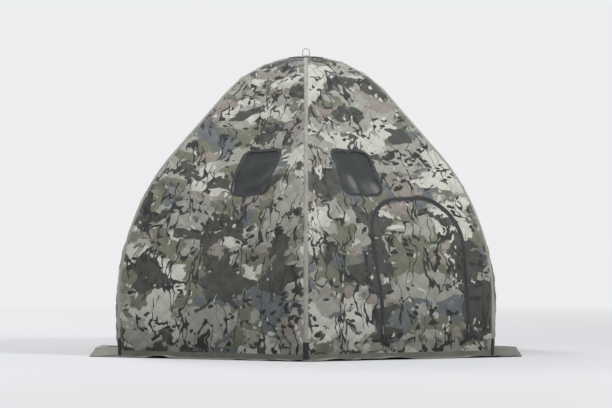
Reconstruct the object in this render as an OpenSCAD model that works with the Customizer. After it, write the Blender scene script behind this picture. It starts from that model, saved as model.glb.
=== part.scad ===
// Six-sided ice fishing shelter: quilted camouflage cloth on a folding umbrella frame.
// Millimetres, Z up. The origin is on the ground in the middle of the plan.
// One rib stands at the front, at -Y, so the two front panels meet in the middle of the front view.

/* [Hut] */
// Distance from the middle to a corner of the cloth wall, at the ground
corner_r = 1340; // [1250:10:1500]
// Height from the ground to the top of the crown patch
hut_h = 1860; // [1760:10:2100]

/* [Roof line] */
// Slope of the straight rafters, in degrees above level
roof_pitch = 45; // [38:1:55]
// Radius of the bend between a rib's upright leg and its rafter
shoulder_r = 1300; // [1000:10:1400]
// Radius of the dome over the hub
crown_r = 850; // [650:10:1000]

/* [Cloth] */
// Thickness of the quilted wall cloth
cloth_t = 4; // [2:0.5:6]
// How far a panel's middle is drawn in between its ribs, over the bend of the shoulder
panel_sag = 62; // [0:1:80]
// Gap between the edges of two panels along a rib seam
seam_gap = 0.3; // [0.2:0.1:1]
// Gap between two layers that lie on each other
layer_gap = 0.3; // [0.2:0.1:0.6]
// Thickness of a zip, a binding or a cover that is sewn on the cloth
trim_t = 2; // [1:0.5:3]

/* [Crown] */
// Distance from the middle to a corner of the hole that the panels leave round the hub
crown_hole_r = 95; // [85:1:110]
// How far the crown patch laps over the panels
patch_lap = 30; // [15:1:36]
// Thickness of the crown patch
patch_t = 3; // [2:0.5:5]
// Width of the webbing of the crown loop
loop_web = 25; // [15:1:40]
// Thickness of the webbing of the crown loop
loop_t = 3; // [2:0.5:4]
// Inner radius of the crown loop's round top
loop_r = 20; // [12:1:30]
// Height of the straight sides of the crown loop
loop_leg = 22; // [5:1:40]

/* [Ribs] */
// Diameter of the fibreglass rods
rod_d = 9.5; // [7:0.5:11]
// Radial clearance of a rod in its sockets
rod_fit = 0.15; // [0.1:0.05:0.3]
// Wall of the sockets, keepers and feet round a rod
socket_wall = 2.6; // [2:0.1:4]
// Depth of a rod in a socket
socket_l = 20; // [14:1:28]
// Clearance between the sockets and the cloth
frame_gap = 0.5; // [0.3:0.1:1]
// Length of a keeper along its rod
keeper_l = 25; // [15:1:50]
// Height of a foot
foot_h = 40; // [25:1:60]
// Thickness of the floor of a foot under its rod
foot_floor = 6; // [4:1:12]

/* [Hinges] */
// How much wider a hinge eye is than its socket, on the radius
eye_extra = 0.6; // [0:0.1:0.8]
// Thickness of a hinge tongue
tongue_t = 6; // [4:0.5:7]
// Clearance at each side and at the end of a hinge tongue
hinge_gap = 0.25; // [0.2:0.05:0.5]
// Thickness of the plug between a hinge eye and the end of its rod
plug_t = 4; // [3:0.5:8]
// Diameter of the hinge pins
pin_d = 4.5; // [3:0.5:6]
// Radial clearance of a hinge pin
pin_fit = 0.1; // [0.05:0.05:0.2]
// How far a fork's cheeks stand in from the width of its socket, at each side
cheek_in = 0.6; // [0.4:0.1:1]

/* [Hub] */
// Distance from the middle of the hub to the upper ends of the rods
rod_end_r = 47; // [45:1:56]
// Depth of the hub below its pins
hub_below = 14; // [10:1:25]
// Radius of the plate on top of the hub, under the crown patch
plate_r = 60; // [46:1:66]
// Thickness of the plate on top of the hub
plate_t = 5; // [3:0.5:8]

/* [Skirt] */
// Width of the snow skirt on the ground
skirt_w = 180; // [120:5:300]
// Thickness of the skirt
skirt_t = 3; // [2:0.5:5]
// Height of the sewn edge of the skirt up the wall
skirt_up = 35; // [20:1:80]
// Radius of the skirt's fold at the foot of the wall
skirt_fold_r = 10; // [4:1:15]

/* [Anchors] */
// Width of a corner tab
tab_w = 40; // [34:1:60]
// Length of a corner tab on the ground
tab_l = 195; // [150:5:240]
// Height of a corner tab up its corner
tab_up = 110; // [60:5:200]
// Diameter of the hole in an eyelet
eyelet_hole_d = 16; // [10:1:18]
// Width of an eyelet's barrel wall
eyelet_wall = 2; // [1.5:0.5:3]
// How far an eyelet's flange laps over its tab
eyelet_lap = 4; // [2:0.5:5]
// Thickness of an eyelet's flange
eyelet_t = 1.2; // [1:0.1:2]
// Distance of an eyelet from the end of its tab
eyelet_in = 30; // [25:1:60]

/* [Door] */
// Width of the door opening
door_w = 620; // [500:10:700]
// Height of the door's sill above the ground
door_sill = 80; // [60:5:160]
// Height of the door opening above its sill
door_h = 900; // [700:10:920]
// Radius of the door's upper corners
door_top_r = 240; // [100:5:245]
// Radius of the door's lower corners
door_foot_r = 60; // [20:5:120]
// How far the door stands off the middle of its panel
door_off = 170; // [120:5:200]
// Width of the slit between the panel and the door leaf
zip_slit = 6; // [4:1:12]
// How far the zip tape laps over the cloth at each side of the slit
zip_lap = 11; // [6:1:16]
// Width of a zip slider
pull_w = 14; // [10:1:18]
// Length of a zip slider and its pull
pull_l = 62; // [40:1:80]
// Diameter of the hole in a zip pull
pull_hole_d = 7; // [4:0.5:9]

/* [Windows] */
// Width of a window opening
window_w = 260; // [200:10:300]
// Height of a window opening along the slope
window_h = 310; // [240:10:330]
// Radius of a window's corners
window_r = 45; // [20:5:90]
// Height of a window's middle above the ground
window_z = 1180; // [1165:5:1200]
// How far a window stands off the middle of its panel
window_off = 125; // [60:5:150]
// Width of the binding round a window
binding_w = 20; // [12:1:26]
// How far the clear film laps over the cloth behind a window
pane_lap = 14; // [8:1:20]
// Thickness of the clear film
pane_t = 1.5; // [1:0.1:2]

/* [Vents] */
// Width of a vent opening
vent_w = 150; // [100:5:200]
// Height of a vent opening along the slope
vent_h = 75; // [50:5:100]
// Radius of a vent's upper corners
vent_r = 36; // [20:1:37]
// Height of a vent's middle above the ground
vent_z = 1430; // [1390:5:1460]
// How far the vent's cover reaches past its opening
vent_lap = 28; // [20:1:40]

/* [Hidden] */
$fn = 48;
// Facets of a full turn on the ribs' long bends
LONG_BEND_FN = 240;

// Plan: six sides, with the first rib at the front
SIDES = 6;
TURN = 360 / SIDES;
HALF = TURN / 2;
FRONT = -90;
FRONT_RIGHT = FRONT + HALF;
RIGHT = FRONT_RIGHT + TURN;
BACK_RIGHT = RIGHT + TURN;
BACK_LEFT = BACK_RIGHT + TURN;
LEFT = BACK_LEFT + TURN;
FRONT_LEFT = LEFT + TURN;

// Frame: a rib's middle line runs inside the rib line by frame_in, in the plane of the rib
rod_r = rod_d / 2;
socket_r = rod_r + rod_fit + socket_wall;
frame_in = (cloth_t + socket_r + frame_gap) / cos(HALF);
shoulder_in = shoulder_r - frame_in;
crown_in = crown_r - frame_in;

// Hinges: an eye, a plug and a socket, measured from the pin
eye_r = socket_r + eye_extra;
rod_start = eye_r + hinge_gap + plug_t;
socket_end = rod_start + socket_l;
fork_half = tongue_t / 2 + hinge_gap;

// Root of a rib: the tongue runs on from the end of the crown bend to its pin in the hub
root_slope = asin(rod_end_r / crown_in);
pin_x = rod_end_r - rod_start * cos(root_slope);

// Rib line: the outer face of the cloth along a rib, from the ground to the top of its crown bend.
// The hub's plate stands a little above that top, under the crown patch.
pin_drop = crown_r - crown_in * cos(root_slope) - rod_start * sin(root_slope);
rib_top = hut_h - patch_t - layer_gap - plate_t - hinge_gap - eye_r + pin_drop;
pin_z = rib_top - pin_drop;
plate_z = pin_z + eye_r + hinge_gap;
bend_turn = 90 - roof_pitch;
rafter_r = corner_r - shoulder_r * (1 - cos(bend_turn));
rafter_l = (rafter_r - crown_r * sin(roof_pitch)) / cos(roof_pitch);
rafter_top_z = rib_top - crown_r * (1 - cos(roof_pitch));
rafter_z = rafter_top_z - rafter_l * sin(roof_pitch);
leg_h = rafter_z - shoulder_r * sin(bend_turn);
wall_r = corner_r * cos(HALF);

// Facets along and across a panel; those on a bend touch its true arc from outside
LEG_CELLS = 2;
SHOULDER_CELLS = 10;
RAFTER_CELLS = 4;
CROWN_CELLS = 5;
ACROSS = [-1, -0.94, -0.7, -0.37, 0, 0.37, 0.7, 0.94, 1];
crown_edge = asin(crown_hole_r / crown_r);
shoulder_half = bend_turn / SHOULDER_CELLS / 2;
crown_half = (roof_pitch - crown_edge) / CROWN_CELLS / 2;

// Each station on the rib line is [radius, height, angle of the outward normal, offset factor]
function bend_station(middle_r, middle_z, r, normal, half_cell) = [
    middle_r + r * cos(normal) / cos(half_cell),
    middle_z + r * sin(normal) / cos(half_cell),
    normal,
    1 / cos(half_cell)
];
function leg_stations() = [
    for (k = [0:LEG_CELLS - 1]) [corner_r, leg_h * k / LEG_CELLS, 0, 1]
];
function shoulder_stations() = [
    for (k = [0:SHOULDER_CELLS - 1])
        bend_station(corner_r - shoulder_r, leg_h, shoulder_r, (2 * k + 1) * shoulder_half, shoulder_half)
];
function rafter_stations() = [
    for (k = [1:RAFTER_CELLS - 1])
        let (run = rafter_l * k / RAFTER_CELLS)
            [rafter_r - run * cos(roof_pitch), rafter_z + run * sin(roof_pitch), bend_turn, 1]
];
function crown_stations() = [
    for (k = [0:CROWN_CELLS - 1])
        bend_station(0, rib_top - crown_r, crown_r, bend_turn + (2 * k + 1) * crown_half, crown_half)
];
function crown_z(r) = rib_top - crown_r + sqrt(crown_r * crown_r - r * r);
STATIONS = concat(
    leg_stations(), shoulder_stations(), rafter_stations(), crown_stations(),
    [[crown_hole_r, crown_z(crown_hole_r), 90 - crown_edge, 1]]
);
LAST = len(STATIONS) - 1;
function girth_to(i) =
    i == 0 ? 0 : girth_to(i - 1) + norm([for (c = [0, 1]) STATIONS[i][c] - STATIONS[i - 1][c]]);

// A point of a panel at station i and v across it, at a distance outside its outer face.
// The panel's outward normal is +X. It is drawn in between its ribs, most of all where they bend.
function panel_point(i, v, outside) =
    let (
        s = STATIONS[i],
        lean = norm([cos(s[2]), cos(HALF) * sin(s[2])]),
        shift = outside * s[3] * lean / cos(HALF),
        r = s[0] + shift * cos(s[2]),
        z = s[1] + shift * sin(s[2]),
        dip = panel_sag * pow(sin(180 * girth_to(i) / girth_to(LAST)) * (1 - v * v), 2)
    )
    [
        r * cos(HALF) - dip * cos(s[2]) / lean,
        v * (r * sin(HALF) - seam_gap / 2),
        z - dip * cos(HALF) * sin(s[2]) / lean
    ];

// A closed skin that follows a panel between two distances from its outer face
module skin(low, high, first = 0, last = LAST) {
    across = len(ACROSS);
    layer = (last - first + 1) * across;
    points = [
        for (outside = [high, low])
            for (i = [first:last])
                for (v = ACROSS)
                    panel_point(i, v, outside)
    ];
    rows = last - first - 1;
    cols = across - 2;
    function at(i, j) = i * across + j;
    faces = concat(
        [for (i = [0:rows]) for (j = [0:cols]) [at(i, j), at(i + 1, j), at(i + 1, j + 1)]],
        [for (i = [0:rows]) for (j = [0:cols]) [at(i, j), at(i + 1, j + 1), at(i, j + 1)]],
        [for (i = [0:rows]) for (j = [0:cols])
            [layer + at(i, j), layer + at(i + 1, j + 1), layer + at(i + 1, j)]],
        [for (i = [0:rows]) for (j = [0:cols])
            [layer + at(i, j), layer + at(i, j + 1), layer + at(i + 1, j + 1)]],
        [for (j = [0:cols]) [at(0, j), at(0, j + 1), layer + at(0, j + 1), layer + at(0, j)]],
        [for (j = [0:cols])
            [at(rows + 1, j + 1), at(rows + 1, j), layer + at(rows + 1, j), layer + at(rows + 1, j + 1)]],
        [for (i = [0:rows]) [at(i + 1, 0), at(i, 0), layer + at(i, 0), layer + at(i + 1, 0)]],
        [for (i = [0:rows])
            [at(i, cols + 1), at(i + 1, cols + 1), layer + at(i + 1, cols + 1), layer + at(i, cols + 1)]]
    );
    polyhedron(points, faces, convexity = 6);
}

// The stations next below and next above a stretch of height
function first_below(z) = max([for (i = [0:LAST]) if (i == 0 || STATIONS[i][1] < z) i]);
function first_above(z) = min([for (i = [0:LAST]) if (i == LAST || STATIONS[i][1] > z) i]);

// Radius and outward normal of the rib line at a height below the crown
function rib_r(z) =
    z < leg_h ? corner_r
    : z < rafter_z ? corner_r - shoulder_r * (1 - cos(rib_normal(z)))
    : rafter_r - (z - rafter_z) / tan(roof_pitch);
function rib_normal(z) =
    z < leg_h ? 0
    : z < rafter_z ? asin((z - leg_h) / shoulder_r)
    : bend_turn;

// A rectangle with round corners that stands on the X axis, in the middle
module rounded(w, h, low_r, high_r) {
    translate([-w / 2, low_r]) square([w, h - low_r - high_r]);
    translate([low_r - w / 2, 0]) square([w - 2 * low_r, h / 2]);
    translate([high_r - w / 2, h / 2]) square([w - 2 * high_r, h / 2]);
    for (side = [-1, 1]) {
        translate([side * (w / 2 - low_r), low_r]) circle(low_r);
        translate([side * (w / 2 - high_r), h - high_r]) circle(high_r);
    }
}

// Carries an outline through the cloth, along the panel's outward normal at a height.
// It reaches in past the cloth at the top of the door, which leans in the most.
THROUGH_OUT = 60;
door_lean = (corner_r - rib_r(door_sill + door_h + zip_lap)) * cos(HALF);
through_in = door_lean + panel_sag + THROUGH_OUT;
module through(z, off) {
    tilt = atan2(cos(HALF) * sin(rib_normal(z)), cos(rib_normal(z)));
    translate([rib_r(z) * cos(HALF), off, z]) rotate([0, -tilt, 0]) translate([-through_in, 0, 0])
        rotate([90, 0, 90]) linear_extrude(through_in + THROUGH_OUT) children();
}

// Outlines of the door, the windows and the vents, grown by a margin
module door_outline(grow) {
    translate([0, door_sill - grow])
        rounded(door_w + 2 * grow, door_h + 2 * grow, door_foot_r + grow, door_top_r + grow);
}
module window_outline(grow) {
    translate([0, -window_h / 2 - grow])
        rounded(window_w + 2 * grow, window_h + 2 * grow, window_r + grow, window_r + grow);
}
module vent_outline(grow) {
    translate([0, -vent_h / 2 - grow])
        rounded(vent_w + 2 * grow, vent_h + 2 * grow, 1 + grow, vent_r + grow);
}

// Each window as [panel, side of the panel's middle]; they stand towards the front and the back rib
WINDOWS = [[FRONT_RIGHT, -1], [FRONT_LEFT, 1], [BACK_RIGHT, 1], [BACK_LEFT, -1]];
VENTS = [RIGHT, LEFT];

// Clear space kept above and below an outline when its stretch of stations is picked
ROW_SPARE = 60;
module window_skin(low, high) {
    reach = window_h / 2 + ROW_SPARE;
    skin(low, high, first_below(window_z - reach), first_above(window_z + reach));
}
module vent_skin(low, high) {
    reach = vent_h + ROW_SPARE;
    skin(low, high, first_below(vent_z - reach), first_above(vent_z + reach));
}
module door_skin(low, high) {
    skin(low, high, 0, first_above(door_sill + door_h + ROW_SPARE));
}

// Cloth panels
module panel(angle) {
    rotate([0, 0, angle]) difference() {
        skin(-cloth_t, 0);
        for (w = WINDOWS)
            if (w[0] == angle)
                through(window_z, w[1] * window_off) window_outline(0);
        for (v = VENTS)
            if (v == angle)
                through(vent_z, 0) vent_outline(0);
        if (angle == FRONT_RIGHT)
            through(0, door_off) door_outline(0);
    }
}
module front_right_panel() {
    color("#74756b") panel(FRONT_RIGHT);
}
module right_panel() {
    color("#74756b") panel(RIGHT);
}
module back_right_panel() {
    color("#74756b") panel(BACK_RIGHT);
}
module back_left_panel() {
    color("#74756b") panel(BACK_LEFT);
}
module left_panel() {
    color("#74756b") panel(LEFT);
}
module front_left_panel() {
    color("#74756b") panel(FRONT_LEFT);
}

// The stretch of sill between the door's lower corners, up to a height, where the leaf is sewn to the panel
module sewn_sill(from, to) {
    sewn_w = door_w - 2 * door_foot_r;
    translate([-sewn_w / 2, from]) square([sewn_w, to - from]);
}

// Door leaf, its zip up one side, over the top and down the other, and the two sliders
module door_flap() {
    color("#7d7e73") rotate([0, 0, FRONT_RIGHT]) intersection() {
        door_skin(-cloth_t, 0);
        through(0, door_off) {
            door_outline(-zip_slit);
            sewn_sill(door_sill + layer_gap, door_sill + door_foot_r);
        }
    }
}
module door_zip() {
    color("#26272a") rotate([0, 0, FRONT_RIGHT]) intersection() {
        door_skin(layer_gap, layer_gap + trim_t);
        through(0, door_off) difference() {
            door_outline(zip_lap);
            door_outline(-zip_slit - zip_lap);
            sewn_sill(0, door_sill + door_foot_r);
        }
    }
}
module zip_pulls() {
    low = layer_gap + trim_t + layer_gap;
    pull_z = door_sill + door_foot_r + pull_l / 2;
    color("#8a8c90") rotate([0, 0, FRONT_RIGHT]) intersection() {
        door_skin(low, low + trim_t);
        for (side = [-1, 1])
            through(0, door_off + side * (door_w - zip_slit) / 2) translate([0, pull_z]) difference() {
                rounded(pull_w, pull_l, pull_w / 2 - 1, pull_w / 2 - 1);
                translate([0, pull_w / 2]) circle(d = pull_hole_d);
            }
    }
}

// Window bindings on the outer face and clear film behind the cloth
module window_frames() {
    color("#303133") for (w = WINDOWS) rotate([0, 0, w[0]]) intersection() {
        window_skin(layer_gap, layer_gap + trim_t);
        through(window_z, w[1] * window_off) difference() {
            window_outline(binding_w);
            window_outline(0);
        }
    }
}
module window_panes() {
    high = -cloth_t - layer_gap;
    color("#3c4246") for (w = WINDOWS) rotate([0, 0, w[0]]) intersection() {
        window_skin(high - pane_t, high);
        through(window_z, w[1] * window_off) window_outline(pane_lap);
    }
}

// Vent covers on the outer face and netting behind the cloth
module vent_flaps() {
    color("#696a60") for (v = VENTS) rotate([0, 0, v]) intersection() {
        vent_skin(layer_gap, layer_gap + trim_t);
        through(vent_z, 0) vent_outline(vent_lap);
    }
}
module vent_nets() {
    high = -cloth_t - layer_gap;
    color("#2b2c2d") for (v = VENTS) rotate([0, 0, v]) intersection() {
        vent_skin(high - pane_t, high);
        through(vent_z, 0) vent_outline(pane_lap);
    }
}

// Crown patch: a six-sided cap that lies on the hub's plate and on the panels' upper ends
module crown_patch() {
    hole_z = crown_z(crown_hole_r) + layer_gap;
    plate_top = plate_z + plate_t + layer_gap;
    under = [
        [0, plate_top],
        [(plate_r + layer_gap) / cos(HALF), plate_top],
        [crown_hole_r, hole_z],
        [crown_hole_r + patch_lap, hole_z - patch_lap * tan(crown_edge)]
    ];
    count = len(under);
    over = [for (k = [1:count]) under[count - k] + [0, patch_t]];
    color("#3a3b3a") rotate([0, 0, FRONT]) rotate_extrude($fn = SIDES) polygon(concat(under, over));
}

// Crown loop: a stirrup of webbing that stands on the crown patch
module crown_loop() {
    outer_r = loop_r + loop_t;
    stand = loop_leg + loop_t;
    color("#1f2022") translate([0, loop_web / 2, hut_h + layer_gap]) rotate([90, 0, 0])
        linear_extrude(loop_web) difference() {
            union() {
                translate([0, stand]) circle(outer_r);
                translate([-outer_r, 0]) square([2 * outer_r, stand]);
            }
            translate([0, stand]) circle(loop_r);
            translate([-loop_r, loop_t]) square([2 * loop_r, loop_leg]);
        }
}

// Places on a rib's middle line, in the plane of the rib
leg_x = corner_r - frame_in;
elbow_base = [leg_x - shoulder_in * (1 - cos(bend_turn)), 0, leg_h + shoulder_in * sin(bend_turn)];
rafter_way = [-cos(roof_pitch), 0, sin(roof_pitch)];
elbow_pin = elbow_base + rod_start * rafter_way;
crown_turn = roof_pitch - root_slope;

module each_rib() {
    for (k = [0:SIDES - 1]) rotate([0, 0, FRONT + k * TURN]) children();
}
// A round bar or tube bent round the Y axis from level, upwards from +X
module bent(r, turn, outer_r, inner_r = 0) {
    rotate([90, 0, 0]) rotate_extrude(angle = turn, $fn = LONG_BEND_FN) translate([r, 0]) difference() {
        circle(outer_r, $fn = 32);
        if (inner_r > 0)
            circle(inner_r, $fn = 32);
    }
}
// Frames whose Y axis is the middle of a bend; their X axis points to the start of the bend
module shoulder_frame(turned = 0) {
    translate([corner_r - shoulder_r, 0, leg_h]) rotate([0, -turned, 0]) children();
}
module crown_frame(turned = 0) {
    translate([0, 0, rib_top - crown_r]) rotate([0, -bend_turn - turned, 0]) children();
}
// A straight rod that ends where a bend of radius r begins
module straight(r, length) {
    translate([r, 0, -length]) cylinder(r = rod_r, h = length);
}
module lower_rib(angle) {
    rotate([0, 0, angle]) shoulder_frame() {
        straight(shoulder_in, leg_h - foot_floor);
        bent(shoulder_in, bend_turn, rod_r);
    }
}
module upper_rib(angle) {
    rotate([0, 0, angle]) crown_frame() {
        straight(crown_in, rafter_l - 2 * rod_start);
        bent(crown_in, crown_turn, rod_r);
    }
}
module lower_rib_front() {
    color("#2e3032") lower_rib(FRONT);
}
module lower_rib_right_front() {
    color("#2e3032") lower_rib(FRONT + TURN);
}
module lower_rib_right_back() {
    color("#2e3032") lower_rib(FRONT + 2 * TURN);
}
module lower_rib_back() {
    color("#2e3032") lower_rib(FRONT + 3 * TURN);
}
module lower_rib_left_back() {
    color("#2e3032") lower_rib(FRONT + 4 * TURN);
}
module lower_rib_left_front() {
    color("#2e3032") lower_rib(FRONT + 5 * TURN);
}
module upper_rib_front() {
    color("#2e3032") upper_rib(FRONT);
}
module upper_rib_right_front() {
    color("#2e3032") upper_rib(FRONT + TURN);
}
module upper_rib_right_back() {
    color("#2e3032") upper_rib(FRONT + 2 * TURN);
}
module upper_rib_back() {
    color("#2e3032") upper_rib(FRONT + 3 * TURN);
}
module upper_rib_left_back() {
    color("#2e3032") upper_rib(FRONT + 4 * TURN);
}
module upper_rib_left_front() {
    color("#2e3032") upper_rib(FRONT + 5 * TURN);
}

// A rod socket that starts at the hinge pin and runs along +Z, eased for a rod that is bent inside it
function bend_ease(r) = socket_l * socket_l / (2 * r);
module socket_bar(ease) {
    difference() {
        cylinder(r = socket_r, h = socket_end);
        translate([0, 0, rod_start]) cylinder(r = rod_r + rod_fit + ease, h = socket_l + 1);
    }
}
module eye_bore() {
    rotate([90, 0, 0]) cylinder(d = pin_d + 2 * pin_fit, h = 4 * socket_r, center = true);
}
// The tongue half of a hinge: a flat eye on the pin, then the socket
module tongue_half(ease = 0) {
    difference() {
        union() {
            socket_bar(ease);
            rotate([90, 0, 0]) cylinder(r = eye_r, h = tongue_t, center = true);
        }
        for (side = [-1, 1])
            translate([-2 * eye_r, side > 0 ? tongue_t / 2 : -tongue_t / 2 - 2 * eye_r, -2 * eye_r])
                cube([4 * eye_r, 2 * eye_r, 3 * eye_r + hinge_gap]);
        eye_bore();
    }
}
// The fork half of a hinge: two cheeks on the pin, rounded so that they clear the cloth, then the socket
cheek_half = socket_r - cheek_in;
module fork_body(ease = 0) {
    difference() {
        union() {
            socket_bar(ease);
            intersection() {
                rotate([90, 0, 0]) cylinder(r = eye_r, h = 2 * cheek_half, center = true);
                cylinder(r = eye_r + hinge_gap, h = 4 * eye_r, center = true);
            }
        }
        translate([-2 * eye_r, -fork_half, -2 * eye_r])
            cube([4 * eye_r, 2 * fork_half, 3 * eye_r + hinge_gap]);
        for (side = [-1, 1])
            translate([-2 * eye_r, side > 0 ? cheek_half : -cheek_half - 2 * eye_r, -2 * eye_r])
                cube([4 * eye_r, 2 * eye_r, 3 * eye_r + hinge_gap]);
        eye_bore();
    }
}
module hinge_pin() {
    rotate([90, 0, 0]) cylinder(d = pin_d, h = 2 * cheek_half, center = true);
}

module rib_elbows() {
    color("#3b3d40") each_rib() translate(elbow_pin) rotate([0, -bend_turn, 0]) {
        tongue_half();
        rotate([0, 180, 0]) fork_body(bend_ease(shoulder_in));
        hinge_pin();
    }
}
module rib_roots() {
    color("#3b3d40") each_rib() translate([pin_x, 0, pin_z]) rotate([0, 90 + root_slope, 0])
        tongue_half(bend_ease(crown_in));
}
module hub_pins() {
    color("#a4a6a8") each_rib() translate([pin_x, 0, pin_z]) hinge_pin();
}

// Hub: a slotted drum with a plate under the crown patch
module top_hub() {
    drum_r = pin_x + eye_r;
    slot_in = pin_x - eye_r - hinge_gap;
    color("#2a2b2d") difference() {
        union() {
            translate([0, 0, pin_z - hub_below]) cylinder(r = drum_r, h = plate_z - pin_z + hub_below);
            translate([0, 0, plate_z]) cylinder(r = plate_r, h = plate_t);
        }
        each_rib() {
            translate([slot_in, -fork_half, pin_z - hub_below - 1])
                cube([drum_r, 2 * fork_half, plate_z - pin_z + hub_below + 1]);
            translate([pin_x, 0, pin_z]) eye_bore();
        }
    }
}

// Keepers: rings round the rods that are sewn to the cloth, at shares of each straight or bend
LEG_KEEPER = 0.4;
SHOULDER_KEEPERS = [0.3, 0.7];
RAFTER_KEEPER = 0.45;
CROWN_KEEPER = 0.5;
module straight_keeper(r, below) {
    translate([r, 0, -below]) difference() {
        cylinder(r = socket_r, h = keeper_l);
        translate([0, 0, -1]) cylinder(r = rod_r + rod_fit, h = keeper_l + 2);
    }
}
module bent_keeper(r) {
    bent(r, keeper_l / r * 180 / PI, socket_r, rod_r + rod_fit);
}
module rib_keepers() {
    color("#1f2022") each_rib() {
        shoulder_frame() straight_keeper(shoulder_in, leg_h * LEG_KEEPER);
        for (share = SHOULDER_KEEPERS)
            shoulder_frame(bend_turn * share) bent_keeper(shoulder_in);
        crown_frame() straight_keeper(crown_in, rafter_l * RAFTER_KEEPER);
        crown_frame(crown_turn * CROWN_KEEPER) bent_keeper(crown_in);
    }
}
module rib_feet() {
    color("#2a2b2d") each_rib() translate([leg_x, 0, 0]) difference() {
        cylinder(r = socket_r, h = foot_h);
        translate([0, 0, foot_floor]) cylinder(r = rod_r + rod_fit, h = foot_h);
    }
}

// Skirt: sewn up the wall, folded and laid out on the ground, with a notch for the tab at each corner
skirt_in = wall_r + layer_gap;
module skirt_section() {
    square([skirt_w, skirt_t]);
    square([skirt_t, skirt_up]);
    difference() {
        square(skirt_t + skirt_fold_r);
        translate([skirt_t + skirt_fold_r, skirt_t + skirt_fold_r]) circle(skirt_fold_r);
    }
}
module skirt(angle) {
    notch = (tab_w / 2 + layer_gap) / cos(HALF);
    far = skirt_in + skirt_w;
    near_y = skirt_in * tan(HALF) - notch;
    far_y = far * tan(HALF) - notch;
    color("#6a6b61") rotate([0, 0, angle]) intersection() {
        translate([skirt_in, far, 0]) rotate([90, 0, 0]) linear_extrude(2 * far) skirt_section();
        linear_extrude(skirt_up) polygon([[skirt_in, -near_y], [far, -far_y], [far, far_y], [skirt_in, near_y]]);
    }
}
module skirt_front_right() {
    skirt(FRONT_RIGHT);
}
module skirt_right() {
    skirt(RIGHT);
}
module skirt_back_right() {
    skirt(BACK_RIGHT);
}
module skirt_back_left() {
    skirt(BACK_LEFT);
}
module skirt_left() {
    skirt(LEFT);
}
module skirt_front_left() {
    skirt(FRONT_LEFT);
}

// Corner tabs and the eyelets for the ice anchors
tab_in = corner_r + layer_gap;
eyelet_r = tab_in + tab_l - eyelet_in;
barrel_r = eyelet_hole_d / 2 + eyelet_wall;
module tab_plan() {
    difference() {
        union() {
            translate([0, -tab_w / 2]) square([tab_l - tab_w / 2, tab_w]);
            translate([tab_l - tab_w / 2, 0]) circle(d = tab_w);
        }
        translate([tab_l - eyelet_in, 0]) circle(barrel_r);
    }
}
module corner_tabs() {
    color("#1f2022") each_rib() translate([tab_in, 0, 0]) {
        linear_extrude(skirt_t) tab_plan();
        translate([0, -tab_w / 2, 0]) cube([skirt_t, tab_w, tab_up]);
    }
}
module corner_eyelets() {
    hole_r = eyelet_hole_d / 2;
    color("#b4b6b8") each_rib() translate([eyelet_r, 0, 0]) rotate_extrude() {
        translate([hole_r, 0]) square([eyelet_wall, skirt_t + eyelet_t]);
        translate([hole_r, skirt_t]) square([eyelet_wall + eyelet_lap, eyelet_t]);
    }
}

crown_patch();
crown_loop();
top_hub();
hub_pins();
rib_roots();
upper_rib_front();
upper_rib_right_front();
upper_rib_right_back();
upper_rib_back();
upper_rib_left_back();
upper_rib_left_front();
rib_elbows();
lower_rib_front();
lower_rib_right_front();
lower_rib_right_back();
lower_rib_back();
lower_rib_left_back();
lower_rib_left_front();
rib_keepers();
rib_feet();
front_right_panel();
right_panel();
back_right_panel();
back_left_panel();
left_panel();
front_left_panel();
skirt_front_right();
skirt_right();
skirt_back_right();
skirt_back_left();
skirt_left();
skirt_front_left();
corner_tabs();
corner_eyelets();
door_flap();
door_zip();
zip_pulls();
window_frames();
window_panes();
vent_flaps();
vent_nets();
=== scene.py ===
"""Looks of a six-sided ice fishing shelter: quilted camouflage cloth, windows, door, vents, skirt, tabs.

Lengths are in metres and the frame is the CAD model's: Z up, the front rib at -Y.
"""
from math import asin, atan2, cos, dist, pi, radians, sin, sqrt, tan

import bmesh
import bpy
import numpy as np
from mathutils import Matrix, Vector


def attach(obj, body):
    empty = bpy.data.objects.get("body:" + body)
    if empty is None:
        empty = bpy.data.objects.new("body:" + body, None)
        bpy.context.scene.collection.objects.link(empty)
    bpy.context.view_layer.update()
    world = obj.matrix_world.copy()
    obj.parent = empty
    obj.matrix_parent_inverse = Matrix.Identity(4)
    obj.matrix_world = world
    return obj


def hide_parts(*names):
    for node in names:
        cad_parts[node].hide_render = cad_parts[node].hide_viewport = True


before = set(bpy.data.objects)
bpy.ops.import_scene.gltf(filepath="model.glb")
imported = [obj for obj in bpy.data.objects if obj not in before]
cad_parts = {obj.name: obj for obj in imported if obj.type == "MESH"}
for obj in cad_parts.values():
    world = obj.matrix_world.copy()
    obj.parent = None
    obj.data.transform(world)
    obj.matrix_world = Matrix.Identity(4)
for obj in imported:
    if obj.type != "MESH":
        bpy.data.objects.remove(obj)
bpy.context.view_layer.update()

BODY = "root"

# Dimensions, as the CAD model has them

CORNER_R = 1.340
HUT_H = 1.860
PITCH = radians(45)
SHOULDER_R = 1.300
CROWN_R = 0.850
CLOTH_T = 0.004
PANEL_SAG = 0.062
SEAM_GAP = 0.0003
LAYER_GAP = 0.0003

CROWN_HOLE_R = 0.095
PATCH_LAP = 0.030
PATCH_T = 0.003
PLATE_R = 0.060
PLATE_T = 0.005
LOOP_WEB = 0.025
LOOP_T = 0.003
LOOP_R = 0.020
LOOP_LEG = 0.022

ROD_R = 0.00475
ROD_FIT = 0.00015
SOCKET_WALL = 0.0026
SOCKET_R = ROD_R + ROD_FIT + SOCKET_WALL
FRAME_GAP = 0.0005
EYE_R = SOCKET_R + 0.0006
HINGE_GAP = 0.00025
ROD_START = EYE_R + HINGE_GAP + 0.004
ROD_END_R = 0.047
KEEPER_L = 0.025

SKIRT_W = 0.180
SKIRT_UP = 0.035
TAB_W = 0.040
TAB_L = 0.195
TAB_UP = 0.110
BARREL_R = 0.010
EYELET_IN = 0.030

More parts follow.
